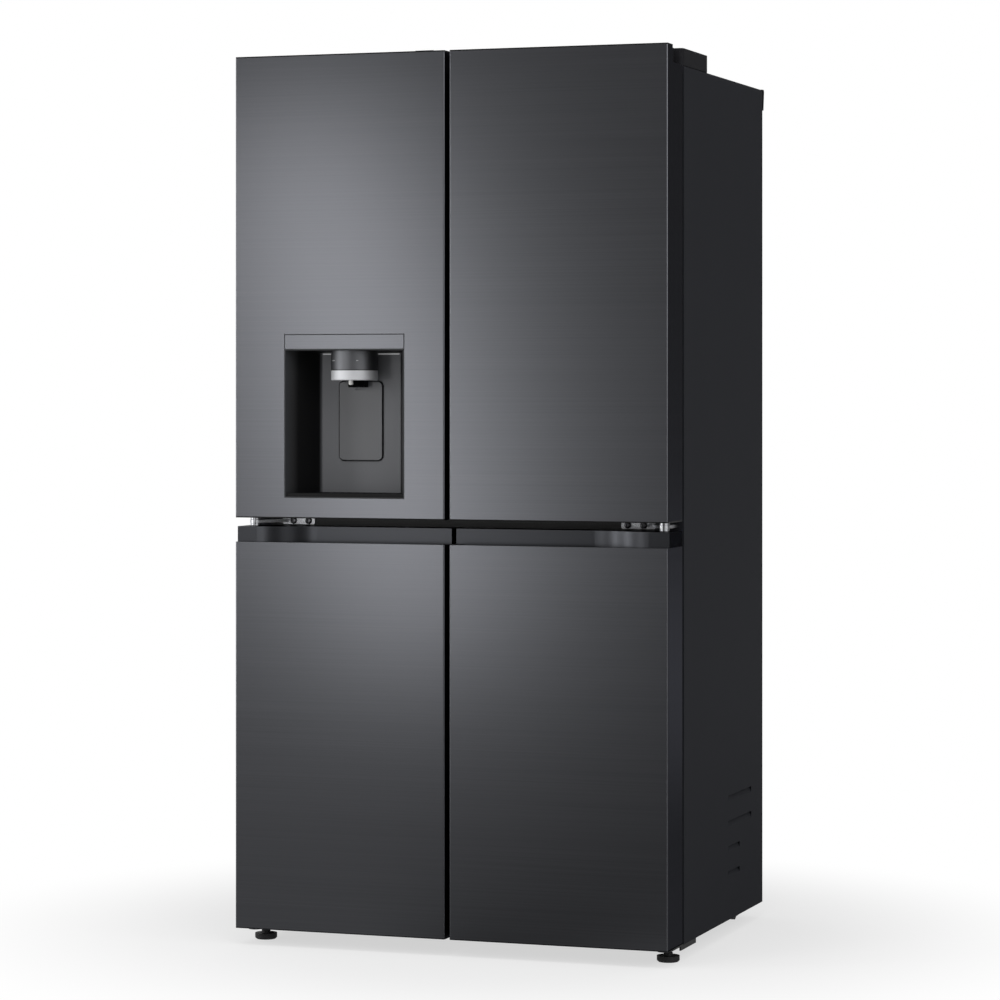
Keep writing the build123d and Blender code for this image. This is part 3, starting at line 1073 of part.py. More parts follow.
# Lower doors
for name, side in SIDES.items():
    with BuildPart() as skin:
        low = DOOR_BOTTOM + CAP_LIP
        extrude(door_plan(side, low, 0, DOOR_REAR), amount=PANEL_TOP - low)
        extrude(door_plan(side, low, SKIN, DOOR_REAR + 1), amount=PANEL_TOP - low, mode=Mode.SUBTRACT)
    save(skin.part, f"lower_{name}_skin")

    with BuildPart() as caps:
        extrude(strip_plan(side, PANEL_TOP, 0, DOOR_REAR), amount=STRIP_HIGH)
        extrude(door_plan(side, PLUG_LOW, SKIN, DOOR_REAR), amount=PANEL_TOP - PLUG_LOW)
        pocket = strip_pocket(side, PANEL_TOP)
        extrude(pocket, amount=-POCKET_DOWN, mode=Mode.SUBTRACT)
        rod((side * HINGE_X, HINGE_Y, LOWER_TOP), (0, 0, -1), PIN_R + RUN, PIN_LONG, Mode.SUBTRACT)
        extrude(door_plan(side, DOOR_BOTTOM, 0, DOOR_REAR), amount=CAP_LIP)
        plug = FILL_LOW - DOOR_BOTTOM - CAP_LIP
        extrude(door_plan(side, DOOR_BOTTOM + CAP_LIP, SKIN, DOOR_REAR), amount=plug)
        rod((side * HINGE_X, HINGE_Y, DOOR_BOTTOM), (0, 0, 1), PIN_R + RUN, PIN_LONG, Mode.SUBTRACT)
    save(caps.part, f"lower_{name}_caps")

    with BuildPart() as liner:
        extrude(door_plan(side, FILL_LOW, SKIN, DOOR_REAR), amount=PLUG_LOW - FILL_LOW)
        dike(side, LOWER_DIKE_CENTRE, DIKE_OUT, FREEZER_FLOOR + DIKE_CLEAR, PLUG_LOW)
    save(liner.part, f"lower_{name}_liner")
    door_seal(side, DOOR_BOTTOM + SEAL_FOOT, LOWER_TOP - SEAL_LOW, f"lower_{name}_gasket")

# Dispenser: housing, control strip, spout block with its ice chute, bright ring, nozzle, paddle, tray
with BuildPart() as dispenser_housing:
    housing_envelope()
    recess(0, Mode.SUBTRACT)
    block(DISP_X - DISP_WIDE / 2, DISP_X + DISP_WIDE / 2, FRONT, FRONT + HEADER_THICK,
          RECESS_TOP, DISP_TOP, Mode.SUBTRACT)
    half = PADDLE_WIDE / 2 + PADDLE_GAP
    with BuildSketch(Plane.XZ.offset(-POCKET_REAR)) as pocket:
        with Locations((DISP_X, (PADDLE_LOW + PADDLE_TOP) / 2)):
            RectangleRounded(2 * half, PADDLE_HIGH + 2 * PADDLE_GAP, PADDLE_R + PADDLE_GAP)
    extrude(amount=POCKET_REAR - RECESS_REAR + 1, mode=Mode.SUBTRACT)
    reach = half + PADDLE_PIN_LONG + 1
    rod((DISP_X - reach, PADDLE_AXIS_Y, PADDLE_AXIS_Z), (1, 0, 0), PADDLE_PIN_R + RUN, 2 * reach,
        Mode.SUBTRACT)
save(dispenser_housing.part, "dispenser_housing")

with BuildPart() as dispenser_header:
    half = DISP_WIDE / 2 - HEADER_GAP
    block(DISP_X - half, DISP_X + half, FRONT, FRONT + HEADER_THICK, RECESS_TOP + CLEAR,
          DISP_TOP - HEADER_GAP)
save(dispenser_header.part, "dispenser_header")

with BuildPart() as spout_block:
    rod((DISP_X, SPOUT_Y, SPOUT_LOW), (0, 0, 1), SPOUT_R, SPOUT_DROP)
    recess(0, Mode.INTERSECT)
    for wall, up, mode in ((0, 0, Mode.ADD), (CHUTE_WALL, CHUTE_UP, Mode.SUBTRACT)):
        half = CHUTE_WIDE / 2 - wall
        block(DISP_X - half, DISP_X + half, CHUTE_REAR - CHUTE_DEEP + wall, CHUTE_REAR - wall,
              SPOUT_LOW - CHUTE_LONG, SPOUT_LOW + up, mode)
save(spout_block.part, "spout_block")

with BuildPart() as spout_ring:
    rod((DISP_X, SPOUT_Y, SPOUT_LOW - RING_HIGH), (0, 0, 1), SPOUT_R, RING_HIGH)
    rod((DISP_X, SPOUT_Y, SPOUT_LOW - RING_HIGH), (0, 0, 1), SPOUT_R - RING_WALL, RING_HIGH, Mode.SUBTRACT)
    recess(0, Mode.INTERSECT)
    chamfer(spout_ring.edges().filter_by(GeomType.CIRCLE).group_by(Axis.Z)[0], RING_EDGE)
save(spout_ring.part, "spout_ring")

with BuildPart() as water_nozzle:
    rod((DISP_X, SPOUT_Y - NOZZLE_AHEAD, SPOUT_LOW - NOZZLE_LONG), (0, 0, 1), NOZZLE_R, NOZZLE_LONG)
    chamfer(water_nozzle.edges().group_by(Axis.Z)[0], NOZZLE_TIP)
save(water_nozzle.part, "water_nozzle")

with BuildPart() as dispenser_paddle:
    face = RECESS_REAR - PADDLE_PROUD
    with BuildSketch(Plane.XZ.offset(-face)) as plate:
        with Locations((DISP_X, (PADDLE_LOW + PADDLE_TOP) / 2)):
            RectangleRounded(PADDLE_WIDE, PADDLE_HIGH, PADDLE_R)
    extrude(amount=-PADDLE_THICK)
    mark = PADDLE_TOP - PADDLE_MARK_DROP
    block(DISP_X - PADDLE_MARK / 2, DISP_X + PADDLE_MARK / 2, face, face + PADDLE_MARK_DEEP,
          mark - PADDLE_MARK_HIGH, mark, Mode.SUBTRACT)
    for side in SIDES.values():
        ear = DISP_X + side * (PADDLE_WIDE / 2 - PADDLE_EAR_IN)
        block(ear, ear - side * PADDLE_EAR, face + PADDLE_THICK, PADDLE_AXIS_Y + PADDLE_EAR_R,
              PADDLE_AXIS_Z - PADDLE_EAR_R, PADDLE_AXIS_Z + PADDLE_EAR_R)
        rod((ear - side * PADDLE_EAR / 2, PADDLE_AXIS_Y, PADDLE_AXIS_Z), (side, 0, 0), PADDLE_PIN_R,
            PADDLE_EAR / 2 + PADDLE_EAR_IN + PADDLE_GAP + PADDLE_PIN_LONG)
save(dispenser_paddle.part, "dispenser_paddle")

with BuildPart() as drip_tray:
    half = DISP_WIDE / 2
    top = DISP_LOW + HOUSING + TRAY_HIGH
    block(DISP_X - half, DISP_X + half, FRONT + TRAY_FRONT, RECESS_REAR - TRAY_REAR, DISP_LOW, top)
    recess(0, Mode.INTERSECT)
    with BuildSketch(Plane.XY.offset(top)) as slots:
        with Locations((DISP_X, (FRONT + RECESS_REAR) / 2)):
            with GridLocations(TRAY_PITCH, 0, TRAY_SLOTS, 1):
                Rectangle(TRAY_SLOT, RECESS_DEEP - 2 * TRAY_SLOT_END)
    extrude(amount=TRAY_FLOOR - TRAY_HIGH, mode=Mode.SUBTRACT)
save(drip_tray.part, "drip_tray")

# Folding centre bar, ice maker's case and door bins
with BuildPart() as flip_mullion:
    with BuildSketch(Plane.XY.offset(BAR_LOW)) as section:
        with Locations((BAR_X, BAR_Y)):
            Circle(BAR_THICK / 2)
        with Locations((BAR_X, BAR_Y + BAR_LONG / 2)):
            Rectangle(BAR_THICK, BAR_LONG)
    extrude(amount=BAR_TOP - BAR_LOW)
    rod((BAR_X, BAR_Y, BAR_TOP), (0, 0, 1), BAR_PIN_R, BAR_PIN_LONG)
    rod((BAR_X, BAR_Y, BAR_LOW), (0, 0, -1), BAR_PIN_R, BAR_PIN_LONG)
save(flip_mullion.part, "flip_mullion")

with BuildPart() as ice_case:
    block(-BIN_X0, -BIN_X1, DOOR_REAR, DOOR_REAR + ICE_DEEP, BEHIND_TOP, ICE_TOP)
    fillet(ice_case.edges().group_by(Axis.Y)[-1], ICE_R)
save(ice_case.part, "ice_case")


def door_bin(side, low):
    """A clear bin that hangs between the dikes, with a rounded front and an open top."""
    x0, x1 = sorted((side * BIN_X0, side * BIN_X1))
    for inset, lift, mode in ((0, 0, Mode.ADD), (BIN_WALL, BIN_WALL, Mode.SUBTRACT)):
        with BuildSketch(Plane.XY.offset(low + lift)) as plan:
            with Locations(((x0 + x1) / 2, DOOR_REAR + BIN_DEEP / 2)):
                Rectangle(x1 - x0 - 2 * inset, BIN_DEEP - 2 * inset)
            fillet(plan.vertices().group_by(Axis.Y)[-1], BIN_R - inset)
        extrude(plan.sketch, amount=BIN_HIGH, mode=mode)


with BuildPart() as bins_upper_left:
    door_bin(-1, ICE_TOP + ICE_BIN_GAP)
save(bins_upper_left.part, "bins_upper_left")

with BuildPart() as bins_upper_right:
    for row in range(RIGHT_BINS):
        door_bin(1, DIKE_LOW + DIKE_WIDE + BIN_PITCH * row)
save(bins_upper_right.part, "bins_upper_right")
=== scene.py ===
import math

import bmesh
import bpy
from mathutils import Matrix, Quaternion, Vector


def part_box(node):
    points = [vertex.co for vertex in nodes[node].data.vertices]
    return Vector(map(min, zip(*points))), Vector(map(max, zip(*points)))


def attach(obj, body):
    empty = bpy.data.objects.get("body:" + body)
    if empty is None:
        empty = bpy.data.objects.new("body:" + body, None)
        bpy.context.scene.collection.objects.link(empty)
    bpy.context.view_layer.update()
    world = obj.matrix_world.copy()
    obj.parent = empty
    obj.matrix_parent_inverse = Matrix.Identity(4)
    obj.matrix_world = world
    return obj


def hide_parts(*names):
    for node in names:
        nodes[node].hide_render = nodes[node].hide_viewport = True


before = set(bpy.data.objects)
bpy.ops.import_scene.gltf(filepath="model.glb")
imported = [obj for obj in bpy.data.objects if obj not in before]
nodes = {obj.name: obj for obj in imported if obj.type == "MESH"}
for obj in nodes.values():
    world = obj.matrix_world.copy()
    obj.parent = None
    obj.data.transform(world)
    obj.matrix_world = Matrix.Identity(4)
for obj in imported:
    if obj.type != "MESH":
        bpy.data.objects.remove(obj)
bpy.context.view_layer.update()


# Outer cabinet. A long strip of pre-painted steel is folded round the two sides and the top, and its front
# edges turn in as flanges. The paint is a dark satin coat with the faint orange peel of a roller line.
def tone(red, green, blue):
    """Linear colour of a swatch that reads as these levels from 0 to 255."""
    shares = [level / 255 for level in (red, green, blue)]
    linear = [share / 12.92 if share <= 0.04045 else ((share + 0.055) / 1.055) ** 2.4 for share in shares]
    return linear + [1.0]


def start_finish(title, **sockets):
    """A new surface finish with some shader inputs set: the material, its node tree and its shader."""
    finish = bpy.data.materials.new(title)
    finish.use_nodes = True
    shader = finish.node_tree.nodes["Principled BSDF"]
    for name, value in sockets.items():
        shader.inputs[name.replace("_", " ")].default_value = value
    return finish, finish.node_tree, shader


def start_group(title, inputs):
    """A new node group with the named inputs, and colour, roughness and normal as outputs."""
    group = bpy.data.node_groups.new(title, "ShaderNodeTree")
    for name, kind, value in inputs:
        group.interface.new_socket(name=name, in_out="INPUT", socket_type=kind).default_value = value
    outputs = (("Color", "NodeSocketColor"), ("Roughness", "NodeSocketFloat"),
               ("Normal", "NodeSocketVector"))
    for name, kind in outputs:
        group.interface.new_socket(name=name, in_out="OUTPUT", socket_type=kind)
    return group, group.nodes.new("NodeGroupInput"), group.nodes.new("NodeGroupOutput")


def add_node(tree, kind, fixed=None, **values):
    """A node in a tree, with unlinked inputs and settings by name, and inputs without a name in fixed."""
    node = tree.nodes.new(kind)
    for place, value in (fixed or {}).items():
        node.inputs[place].default_value = value
    for name, value in values.items():
        socket = node.inputs.get(name.replace("_", " "))
        if socket is None:
            setattr(node, name, value)
        else:
            socket.default_value = value
    return node


def join(tree, *pairs):
    """Link outputs to inputs in a node tree."""
    for source, target in pairs:
        tree.links.new(source, target)


def place_group(tree, group, shader, **values):
    """Put a node group into a finish with its own values and feed the shader from it."""
    node = tree.nodes.new("ShaderNodeGroup")
    node.node_tree = group
    for name, value in values.items():
        node.inputs[name].default_value = value
    for name, target in (("Color", "Base Color"), ("Roughness", "Roughness"), ("Normal", "Normal")):
        tree.links.new(node.outputs[name], shader.inputs[target])
    return node


noise_mean = 0.5
full_value = 1.0
peel_swing = 0.10
coat_group, coat_in, coat_out = start_group("coat_texture", (
    ("Tint", "NodeSocketColor", (0.5, 0.5, 0.5, 1)),
    ("Gloss", "NodeSocketFloat", 0.4),
    ("Peel", "NodeSocketFloat", 900.0),
    ("Depth", "NodeSocketFloat", 0.00005),
    ("Cloud", "NodeSocketFloat", 0.03)))
coat_place = add_node(coat_group, "ShaderNodeTexCoord")
coat_peel = add_node(coat_group, "ShaderNodeTexNoise", Detail=2.0, Roughness=0.5)
coat_cloud = add_node(coat_group, "ShaderNodeTexNoise", Scale=5.0, Detail=3.0)
coat_cloud_mid = add_node(coat_group, "ShaderNodeMath", {1: noise_mean}, operation="SUBTRACT")
coat_lift = add_node(coat_group, "ShaderNodeMath", {2: full_value}, operation="MULTIPLY_ADD")
coat_tint = add_node(coat_group, "ShaderNodeHueSaturation")
coat_peel_mid = add_node(coat_group, "ShaderNodeMath", {1: noise_mean}, operation="SUBTRACT")
coat_rough = add_node(coat_group, "ShaderNodeMath", {1: peel_swing}, operation="MULTIPLY_ADD")
coat_bump = add_node(coat_group, "ShaderNodeBump", Strength=0.6)
join(coat_group,
     (coat_place.outputs["Object"], coat_peel.inputs["Vector"]),
     (coat_place.outputs["Object"], coat_cloud.inputs["Vector"]),
     (coat_in.outputs["Peel"], coat_peel.inputs["Scale"]),
     (coat_cloud.outputs["Fac"], coat_cloud_mid.inputs[0]),
     (coat_cloud_mid.outputs[0], coat_lift.inputs[0]),
     (coat_in.outputs["Cloud"], coat_lift.inputs[1]),
     (coat_lift.outputs[0], coat_tint.inputs["Value"]),
     (coat_in.outputs["Tint"], coat_tint.inputs["Color"]),
     (coat_tint.outputs["Color"], coat_out.inputs["Color"]),
     (coat_peel.outputs["Fac"], coat_peel_mid.inputs[0]),
     (coat_peel_mid.outputs[0], coat_rough.inputs[0]),
     (coat_in.outputs["Gloss"], coat_rough.inputs[2]),
     (coat_rough.outputs[0], coat_out.inputs["Roughness"]),
     (coat_peel.outputs["Fac"], coat_bump.inputs["Height"]),
     (coat_in.outputs["Depth"], coat_bump.inputs["Distance"]),
     (coat_bump.outputs["Normal"], coat_out.inputs["Normal"]))


def coated(title, swatch, gloss, peel=900.0, depth=0.00005, cloud=0.06, **sockets):
    """A painted, moulded or plated finish: even colour with slight clouding, and a fine peel or grain."""
    finish, tree, shader = start_finish(title, **sockets)
    place_group(tree, coat_group, shader, Tint=tone(*swatch), Gloss=gloss, Peel=peel, Depth=depth,
                Cloud=cloud)
    return finish


def dress(finish, *names):
    """Give solid pieces of the frame their finish."""
    for name in names:
        holder = nodes[name]
        if not holder.material_slots:
            holder.data.materials.append(finish)
        for place in holder.material_slots:
            place.material = finish


cabinet_paint = coated("cabinet_paint", swatch=(43, 44, 48), gloss=0.62, peel=650.0, depth=0.00012,
                       Specular_IOR_Level=0.03)
dress(cabinet_paint, "cabinet_wrap")

# Back, base and front cross pieces. The back is a thin ribbed sheet screwed to the wrap, the base pan is
# galvanised and painted black, and black steel strips face the rail and the post between the openings.
back_paint = coated("back_paint", swatch=(74, 75, 78), gloss=0.55, peel=420.0, depth=0.0002, cloud=0.10)
dress(back_paint, "back_panel", "machine_cover")
chassis_black = coated("chassis_black", swatch=(24, 24, 25), gloss=0.48, peel=500.0, depth=0.00012)
dress(chassis_black, "base_pan", "centre_rail", "freezer_post")

# Insulation. Rigid polyurethane foam is blown between the wrap and the liners and hardens there, so it is
# a cream block with fine closed cells that nobody sees once the cabinet is shut.
foam_cream = coated("foam_cream", swatch=(222, 205, 160), gloss=0.85, peel=260.0, depth=0.0012, cloud=0.18)
dress(foam_cream, "cabinet_foam")

# Liners. Each compartment and the inside of each door is a vacuum-formed sheet of glossy white polystyrene,
# slightly cool in tone and with soft waviness from the forming. The air tower, the evaporator's cover and
# the ice maker's case are moulded in a flatter white.
liner_white = coated("liner_white", swatch=(232, 234, 236), gloss=0.30, peel=24.0, depth=0.00012, cloud=0.03,
                     Coat_Weight=0.2)
dress(liner_white, "fridge_liner", "freezer_liners", "upper_left_liner", "upper_right_liner",
      "lower_left_liner", "lower_right_liner")
panel_white = coated("panel_white", swatch=(218, 221, 224), gloss=0.38, depth=0.00003)
dress(panel_white, "air_tower", "evaporator_cover", "ice_case")

# Shelves. A sheet of toughened glass lies in a moulded rim that slides on the liner's ledges; the glass has
# the green edge of ordinary float glass.
shelf_rim = coated("shelf_rim", swatch=(214, 217, 220), gloss=0.30, peel=800.0, depth=0.00003,
                   Coat_Weight=0.3)
dress(shelf_rim, "shelf_frames")
shelf_glass = coated("shelf_glass", swatch=(206, 228, 220), gloss=0.04, peel=40.0, depth=0.00002, cloud=0.04,
                     Transmission_Weight=1.0, IOR=1.52)
dress(shelf_glass, "shelf_glass")

# Crispers, lower drawers and door bins. They are injection moulded in clear polystyrene, lightly frosted
# by handling, and their rims catch the light.
clear_plastic = coated("clear_plastic", swatch=(240, 244, 247), gloss=0.14, peel=120.0, depth=0.00003,
                       cloud=0.05, Transmission_Weight=0.7, IOR=1.49)
dress(clear_plastic, "crisper_left", "crisper_right", "freezer_drawers_left", "freezer_drawers_right",
      "bins_upper_left", "bins_upper_right")

# Interior lamp and ice case grip. A frosted lens covers a strip of small lamps in the upper compartment's
# ceiling, and a low moulded grip on the ice maker's case is pulled to take the ice bin out.
merge_gap = 1e-6
crease_angle = math.radians(38)


def keep_piece(title, shape, body, finish):
    """Turn a finished bmesh into a piece that rides on a body of the frame."""
    bmesh.ops.remove_doubles(shape, verts=shape.verts, dist=merge_gap)
    bmesh.ops.recalc_face_normals(shape, faces=shape.faces)
    for face in shape.faces:
        face.smooth = True
    mesh = bpy.data.meshes.new(title)
    shape.to_mesh(mesh)
    shape.free()
    mesh.set_sharp_from_angle(angle=crease_angle)
    mesh.materials.append(finish)
    piece = bpy.data.objects.new(title, mesh)
    bpy.context.scene.collection.objects.link(piece)
    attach(piece, body)
    return piece


def add_block(shape, low, high, edge):
    """A block between two corners with softened edges."""
    low, high = Vector(low), Vector(high)
    made = bmesh.ops.create_cube(shape, size=1.0, matrix=Matrix.Translation((low + high) / 2)
                                 @ Matrix.Diagonal((*(high - low), 1.0)))
    rims = {rim for vert in made["verts"] for rim in vert.link_edges}
    bmesh.ops.bevel(shape, geom=list(rims), offset=edge, segments=2, profile=0.5, affect="EDGES",
                    material=-1)


lamp_lens = coated("lamp_lens", swatch=(244, 244, 241), gloss=0.40, peel=600.0,
                   Emission_Color=(1.0, 0.97, 0.92, 1.0), Emission_Strength=1.5)
liner_wall = 0.0015
lamp_half, lamp_deep, lamp_thick, lamp_edge = 0.15, 0.08, 0.005, 0.0015
lamp_back = 0.119
liner_low, liner_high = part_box("fridge_liner")
ceiling = liner_high.z - liner_wall
lamp_front = liner_low.y + lamp_back
lamp_shape = bmesh.new()
add_block(lamp_shape, (-lamp_half, lamp_front, ceiling - lamp_thick),
          (lamp_half, lamp_front + lamp_deep, ceiling), lamp_edge)
keep_piece("ceiling_lamp", lamp_shape, "cabinet", lamp_lens)
grip_grey = coated("grip_grey", swatch=(150, 153, 156), gloss=0.42)
grip_half, grip_high, grip_edge = 0.045, 0.014, 0.0012
grip_sunk, grip_proud = 0.0005, 0.003
grip_share = 0.62
case_low, case_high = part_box("ice_case")
grip_x = (case_low.x + case_high.x) / 2
grip_z = case_low.z + grip_share * (case_high.z - case_low.z)
grip_shape = bmesh.new()
add_block(grip_shape, (grip_x - grip_half, case_high.y - grip_sunk, grip_z),
          (grip_x + grip_half, case_high.y + grip_proud, grip_z + grip_high), grip_edge)
keep_piece("ice_grip", grip_shape, "upper_left_door", grip_grey)

# Cold side. The evaporator is aluminium tube in pressed fins behind the lower compartments' rear cover, and
# its fan, moulded in pale plastic, turns on the motor's shaft.
coil_aluminium = coated("coil_aluminium", swatch=(205, 207, 210), gloss=0.36, peel=500.0, depth=0.0001,
                        cloud=0.10, Metallic=1.0)
dress(coil_aluminium, "evaporator")
fan_plastic = coated("fan_plastic", swatch=(190, 193, 196), gloss=0.42, peel=700.0)
dress(fan_plastic, "evaporator_fan")

# Machine room. The compressor's shell and the condenser are stove-enamelled black; bracket, fan and drain
# pan are black polypropylene with a fine spark-eroded grain, and so are the rear rollers.
enamel_black = coated("enamel_black", swatch=(22, 22, 23), gloss=0.30, peel=240.0, depth=0.0003,
                      Coat_Weight=0.4)
dress(enamel_black, "compressor", "condenser")
moulded_black = coated("moulded_black", swatch=(32, 32, 34), gloss=0.58, peel=1500.0, depth=0.0002,
                       cloud=0.10)
dress(moulded_black, "fan_bracket", "drain_pan", "condenser_fan", "rear_roller_left", "rear_roller_right")

# Screws. Zinc-plated steel heads with a hexagon socket hold the sheet-metal back and the machine cover.
# Larger ones in a darker plating hold the hinges. The socket is cold-forged, and the rim is rounded.
zinc_plate = coated("zinc_plate", swatch=(178, 179, 182), gloss=0.28, depth=0.0001, cloud=0.14, Metallic=1.0)
screw_dark = coated("screw_dark", swatch=(82, 82, 84), gloss=0.24, depth=0.00006, cloud=0.10, Metallic=1.0)
top_share, inset_share, socket_share = 0.9, 0.28, 0.46
rim_share, sunk_share = 0.35, 0.6
hex_turn = math.pi / 3


def screw_heads(title, places, outward, head_r, head_high, finish):
    """Screw heads with hexagon sockets on the cabinet, their flat sides on the given points."""
    shape = bmesh.new()
    turn = Vector((0, 0, 1)).rotation_difference(Vector(outward)).to_matrix().to_4x4()
    for place in places:
        made = bmesh.ops.create_cone(shape, cap_ends=True, segments=24, radius1=head_r,
                                     radius2=head_r * top_share, depth=head_high,
                                     matrix=Matrix.Translation((0, 0, head_high / 2)))
        faces = {face for vert in made["verts"] for face in vert.link_faces}
        top = max(faces, key=lambda face: face.calc_center_median().z)
        bevelled = bmesh.ops.bevel(shape, geom=list(top.edges), offset=head_high * rim_share, segments=3,
                                   profile=0.5, affect="EDGES", material=-1)
        faces = {face for vert in bevelled["verts"] for face in vert.link_faces}
        top = max(faces, key=lambda face: (face.calc_center_median().z, face.calc_area()))
        bmesh.ops.inset_region(shape, faces=[top], thickness=head_r * inset_share)
        for vert in top.verts:
            angle = math.atan2(vert.co.y, vert.co.x) % hex_turn - hex_turn / 2
            reach = head_r * socket_share * math.cos(hex_turn / 2) / math.cos(angle)
            flat = Vector((vert.co.x, vert.co.y, 0)).normalized() * reach
            vert.co.x, vert.co.y = flat.x, flat.y
        sunk = bmesh.ops.extrude_discrete_faces(shape, faces=[top])["faces"][0]
        bmesh.ops.translate(shape, verts=sunk.verts, vec=(0, 0, -head_high * sunk_share))
        head, reached = set(), [sunk.verts[0]]
        while reached:
            vert = reached.pop()
            if vert not in head:
                head.add(vert)
                reached.extend(edge.other_vert(vert) for edge in vert.link_edges)
        bmesh.ops.transform(shape, matrix=Matrix.Translation(place) @ turn, verts=list(head))
    keep_piece(title, shape, "cabinet", finish)


sheet_screw_r, sheet_screw_high, sheet_margin = 0.0045, 0.0022, 0.012
back_row_count, back_top_room = 6, 0.09
cover_columns = (-0.44, -0.15, 0.15, 0.44)
wrap_low, wrap_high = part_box("cabinet_wrap")
back_low, back_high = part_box("back_panel")
back_x = back_high.x - sheet_margin
back_step = (back_high.z - back_low.z - back_top_room) / (back_row_count - 1)
back_rows = [back_low.z + sheet_margin + back_step * row for row in range(back_row_count)]
screw_heads("back_screws", [(side * back_x, wrap_high.y, z) for side in (-1, 1) for z in back_rows],
            (0, 1, 0), sheet_screw_r, sheet_screw_high, zinc_plate)
cover_low, cover_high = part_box("machine_cover")
cover_rows = (cover_low.z + sheet_margin, cover_high.z - sheet_margin)
screw_heads("cover_screws", [(x, wrap_high.y, z) for x in cover_columns for z in cover_rows],
            (0, 1, 0), sheet_screw_r, sheet_screw_high, zinc_plate)

# Hinges. Thick zinc-plated steel plates carry the door pins; the middle ones are screwed to the rail and
# show two dark socket heads each in the gap between the doors. The bottom ones are enamelled black, and
# steel washers on the middle pins take the upper doors' weight.
dress(zinc_plate, "top_hinges", "mid_hinges")
dress(chassis_black, "bottom_hinges")
mid_screw_insets, mid_screw_r, mid_screw_high = (0.104, 0.071), 0.0072, 0.0045
plate_thick = 0.003
mid_low, mid_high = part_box("mid_hinges")
mid_z = (mid_low.z + mid_high.z) / 2
mid_columns = [mid_high.x - inset for inset in mid_screw_insets]
screw_heads("mid_hinge_screws",
            [(side * x, wrap_low.y - plate_thick, mid_z) for side in (-1, 1) for x in mid_columns],
            (0, -1, 0), mid_screw_r, mid_screw_high, screw_dark)
ear_r, pin_out = 0.011, 0.061
pin_x, pin_y = mid_high.x - ear_r, wrap_low.y - pin_out
washer_low, washer_high = 0.0033, 0.0087
washer_bore, washer_r, washer_edge = 0.0062, 0.0102, 0.0004
washer = bmesh.new()
for side in (-1, 1):
    for low, high in ((washer_low, washer_high), (-washer_high, -washer_low)):
        section = ((washer_bore, low), (washer_r - washer_edge, low), (washer_r, low + washer_edge),
                   (washer_r, high - washer_edge), (washer_r - washer_edge, high), (washer_bore, high))
        ring = [washer.verts.new((side * pin_x + reach, pin_y, mid_z + up)) for reach, up in section]
        loop = [washer.edges.new((ring[count - 1], ring[count])) for count in range(len(ring))]
        bmesh.ops.spin(washer, geom=ring + loop, cent=(side * pin_x, pin_y, mid_z), axis=(0, 0, 1),
                       angle=math.tau, steps=32, use_merge=True)
keep_piece("pin_washers", washer, "cabinet", zinc_plate)
bottom_screw_inset, bottom_screw_backs = 0.036, (0.027, 0.089)
bottom_screw_r, bottom_screw_high = 0.0065, 0.0036
bracket_thick = 0.006
bracket_z = wrap_low.z - bracket_thick
bottom_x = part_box("bottom_hinges")[1].x - bottom_screw_inset
bottom_rows = [wrap_low.y + back for back in bottom_screw_backs]
screw_heads("bottom_hinge_screws",
            [(side * bottom_x, y, bracket_z) for side in (-1, 1) for y in bottom_rows],
            (0, 0, -1), bottom_screw_r, bottom_screw_high, screw_dark)

# Hinge covers and rear trim. Black moulded caps hide the top hinges; each is held by one screw under a round
# plug. A moulded trim closes the top edge of the back.
cover_black = coated("cover_black", swatch=(33, 33, 36), gloss=0.70, peel=1500.0, depth=0.0002,
                     Specular_IOR_Level=0.12)
dress(cover_black, "hinge_covers", "rear_top_trim")
plug_r, plug_top_r, plug_high = 0.0075, 0.0072, 0.0012
plug_rim, plug_dish = 0.0016, 0.0004
plug_side, plug_margin = 0.0425, 0.024
cap_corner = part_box("hinge_covers")[1]
plug = bmesh.new()
for side in (-1, 1):
    plug_x = side * (cap_corner.x - plug_side)
    plug_place = (plug_x, cap_corner.y - plug_margin, cap_corner.z + plug_high / 2)
    made = bmesh.ops.create_cone(plug, cap_ends=True, segments=32, radius1=plug_r, radius2=plug_top_r,
                                 depth=plug_high, matrix=Matrix.Translation(plug_place))
    faces = {face for vert in made["verts"] for face in vert.link_faces}
    top = max(faces, key=lambda face: face.calc_center_median().z)
    bmesh.ops.inset_region(plug, faces=[top], thickness=plug_rim, depth=-plug_dish)
keep_piece("cover_plugs", plug, "cabinet", cover_black)

# Feet. The two front levelling feet are moulded in black rubbery plastic round a steel stud that screws into
# the bottom hinge bracket, and they stand on the floor with a broad pad.
foot_rubber = coated("foot_rubber", swatch=(26, 26, 27), gloss=0.62, peel=1100.0, depth=0.0003, cloud=0.12)
dress(foot_rubber, "front_foot_left", "front_foot_right")

# Door skins. Each is one sheet of stainless steel with a dark tint, folded round the front and both sides of
# the door. The front is brushed from side to side, so fine streaks run across it.
two_noise_means = 2 * noise_mean
streak_swing = 0.05
brush_group, brush_in, brush_out = start_group("brushed_grain", (
    ("Tint", "NodeSocketColor", (0.5, 0.5, 0.5, 1)),
    ("Gloss", "NodeSocketFloat", 0.4),
    ("Depth", "NodeSocketFloat", 0.00002),
    ("Streak", "NodeSocketFloat", 0.10)))
brush_place = add_node(brush_group, "ShaderNodeTexCoord")
brush_long = add_node(brush_group, "ShaderNodeMapping", Scale=(0.8, 0.8, 420.0))
brush_fine = add_node(brush_group, "ShaderNodeMapping", Scale=(2.0, 2.0, 1600.0))
brush_long_noise = add_node(brush_group, "ShaderNodeTexNoise", Scale=1.0, Detail=4.0, Roughness=0.6)
brush_fine_noise = add_node(brush_group, "ShaderNodeTexNoise", Scale=1.0, Detail=2.0, Roughness=0.5)
brush_sum = add_node(brush_group, "ShaderNodeMath", operation="ADD")
brush_mid = add_node(brush_group, "ShaderNodeMath", {1: two_noise_means}, operation="SUBTRACT")
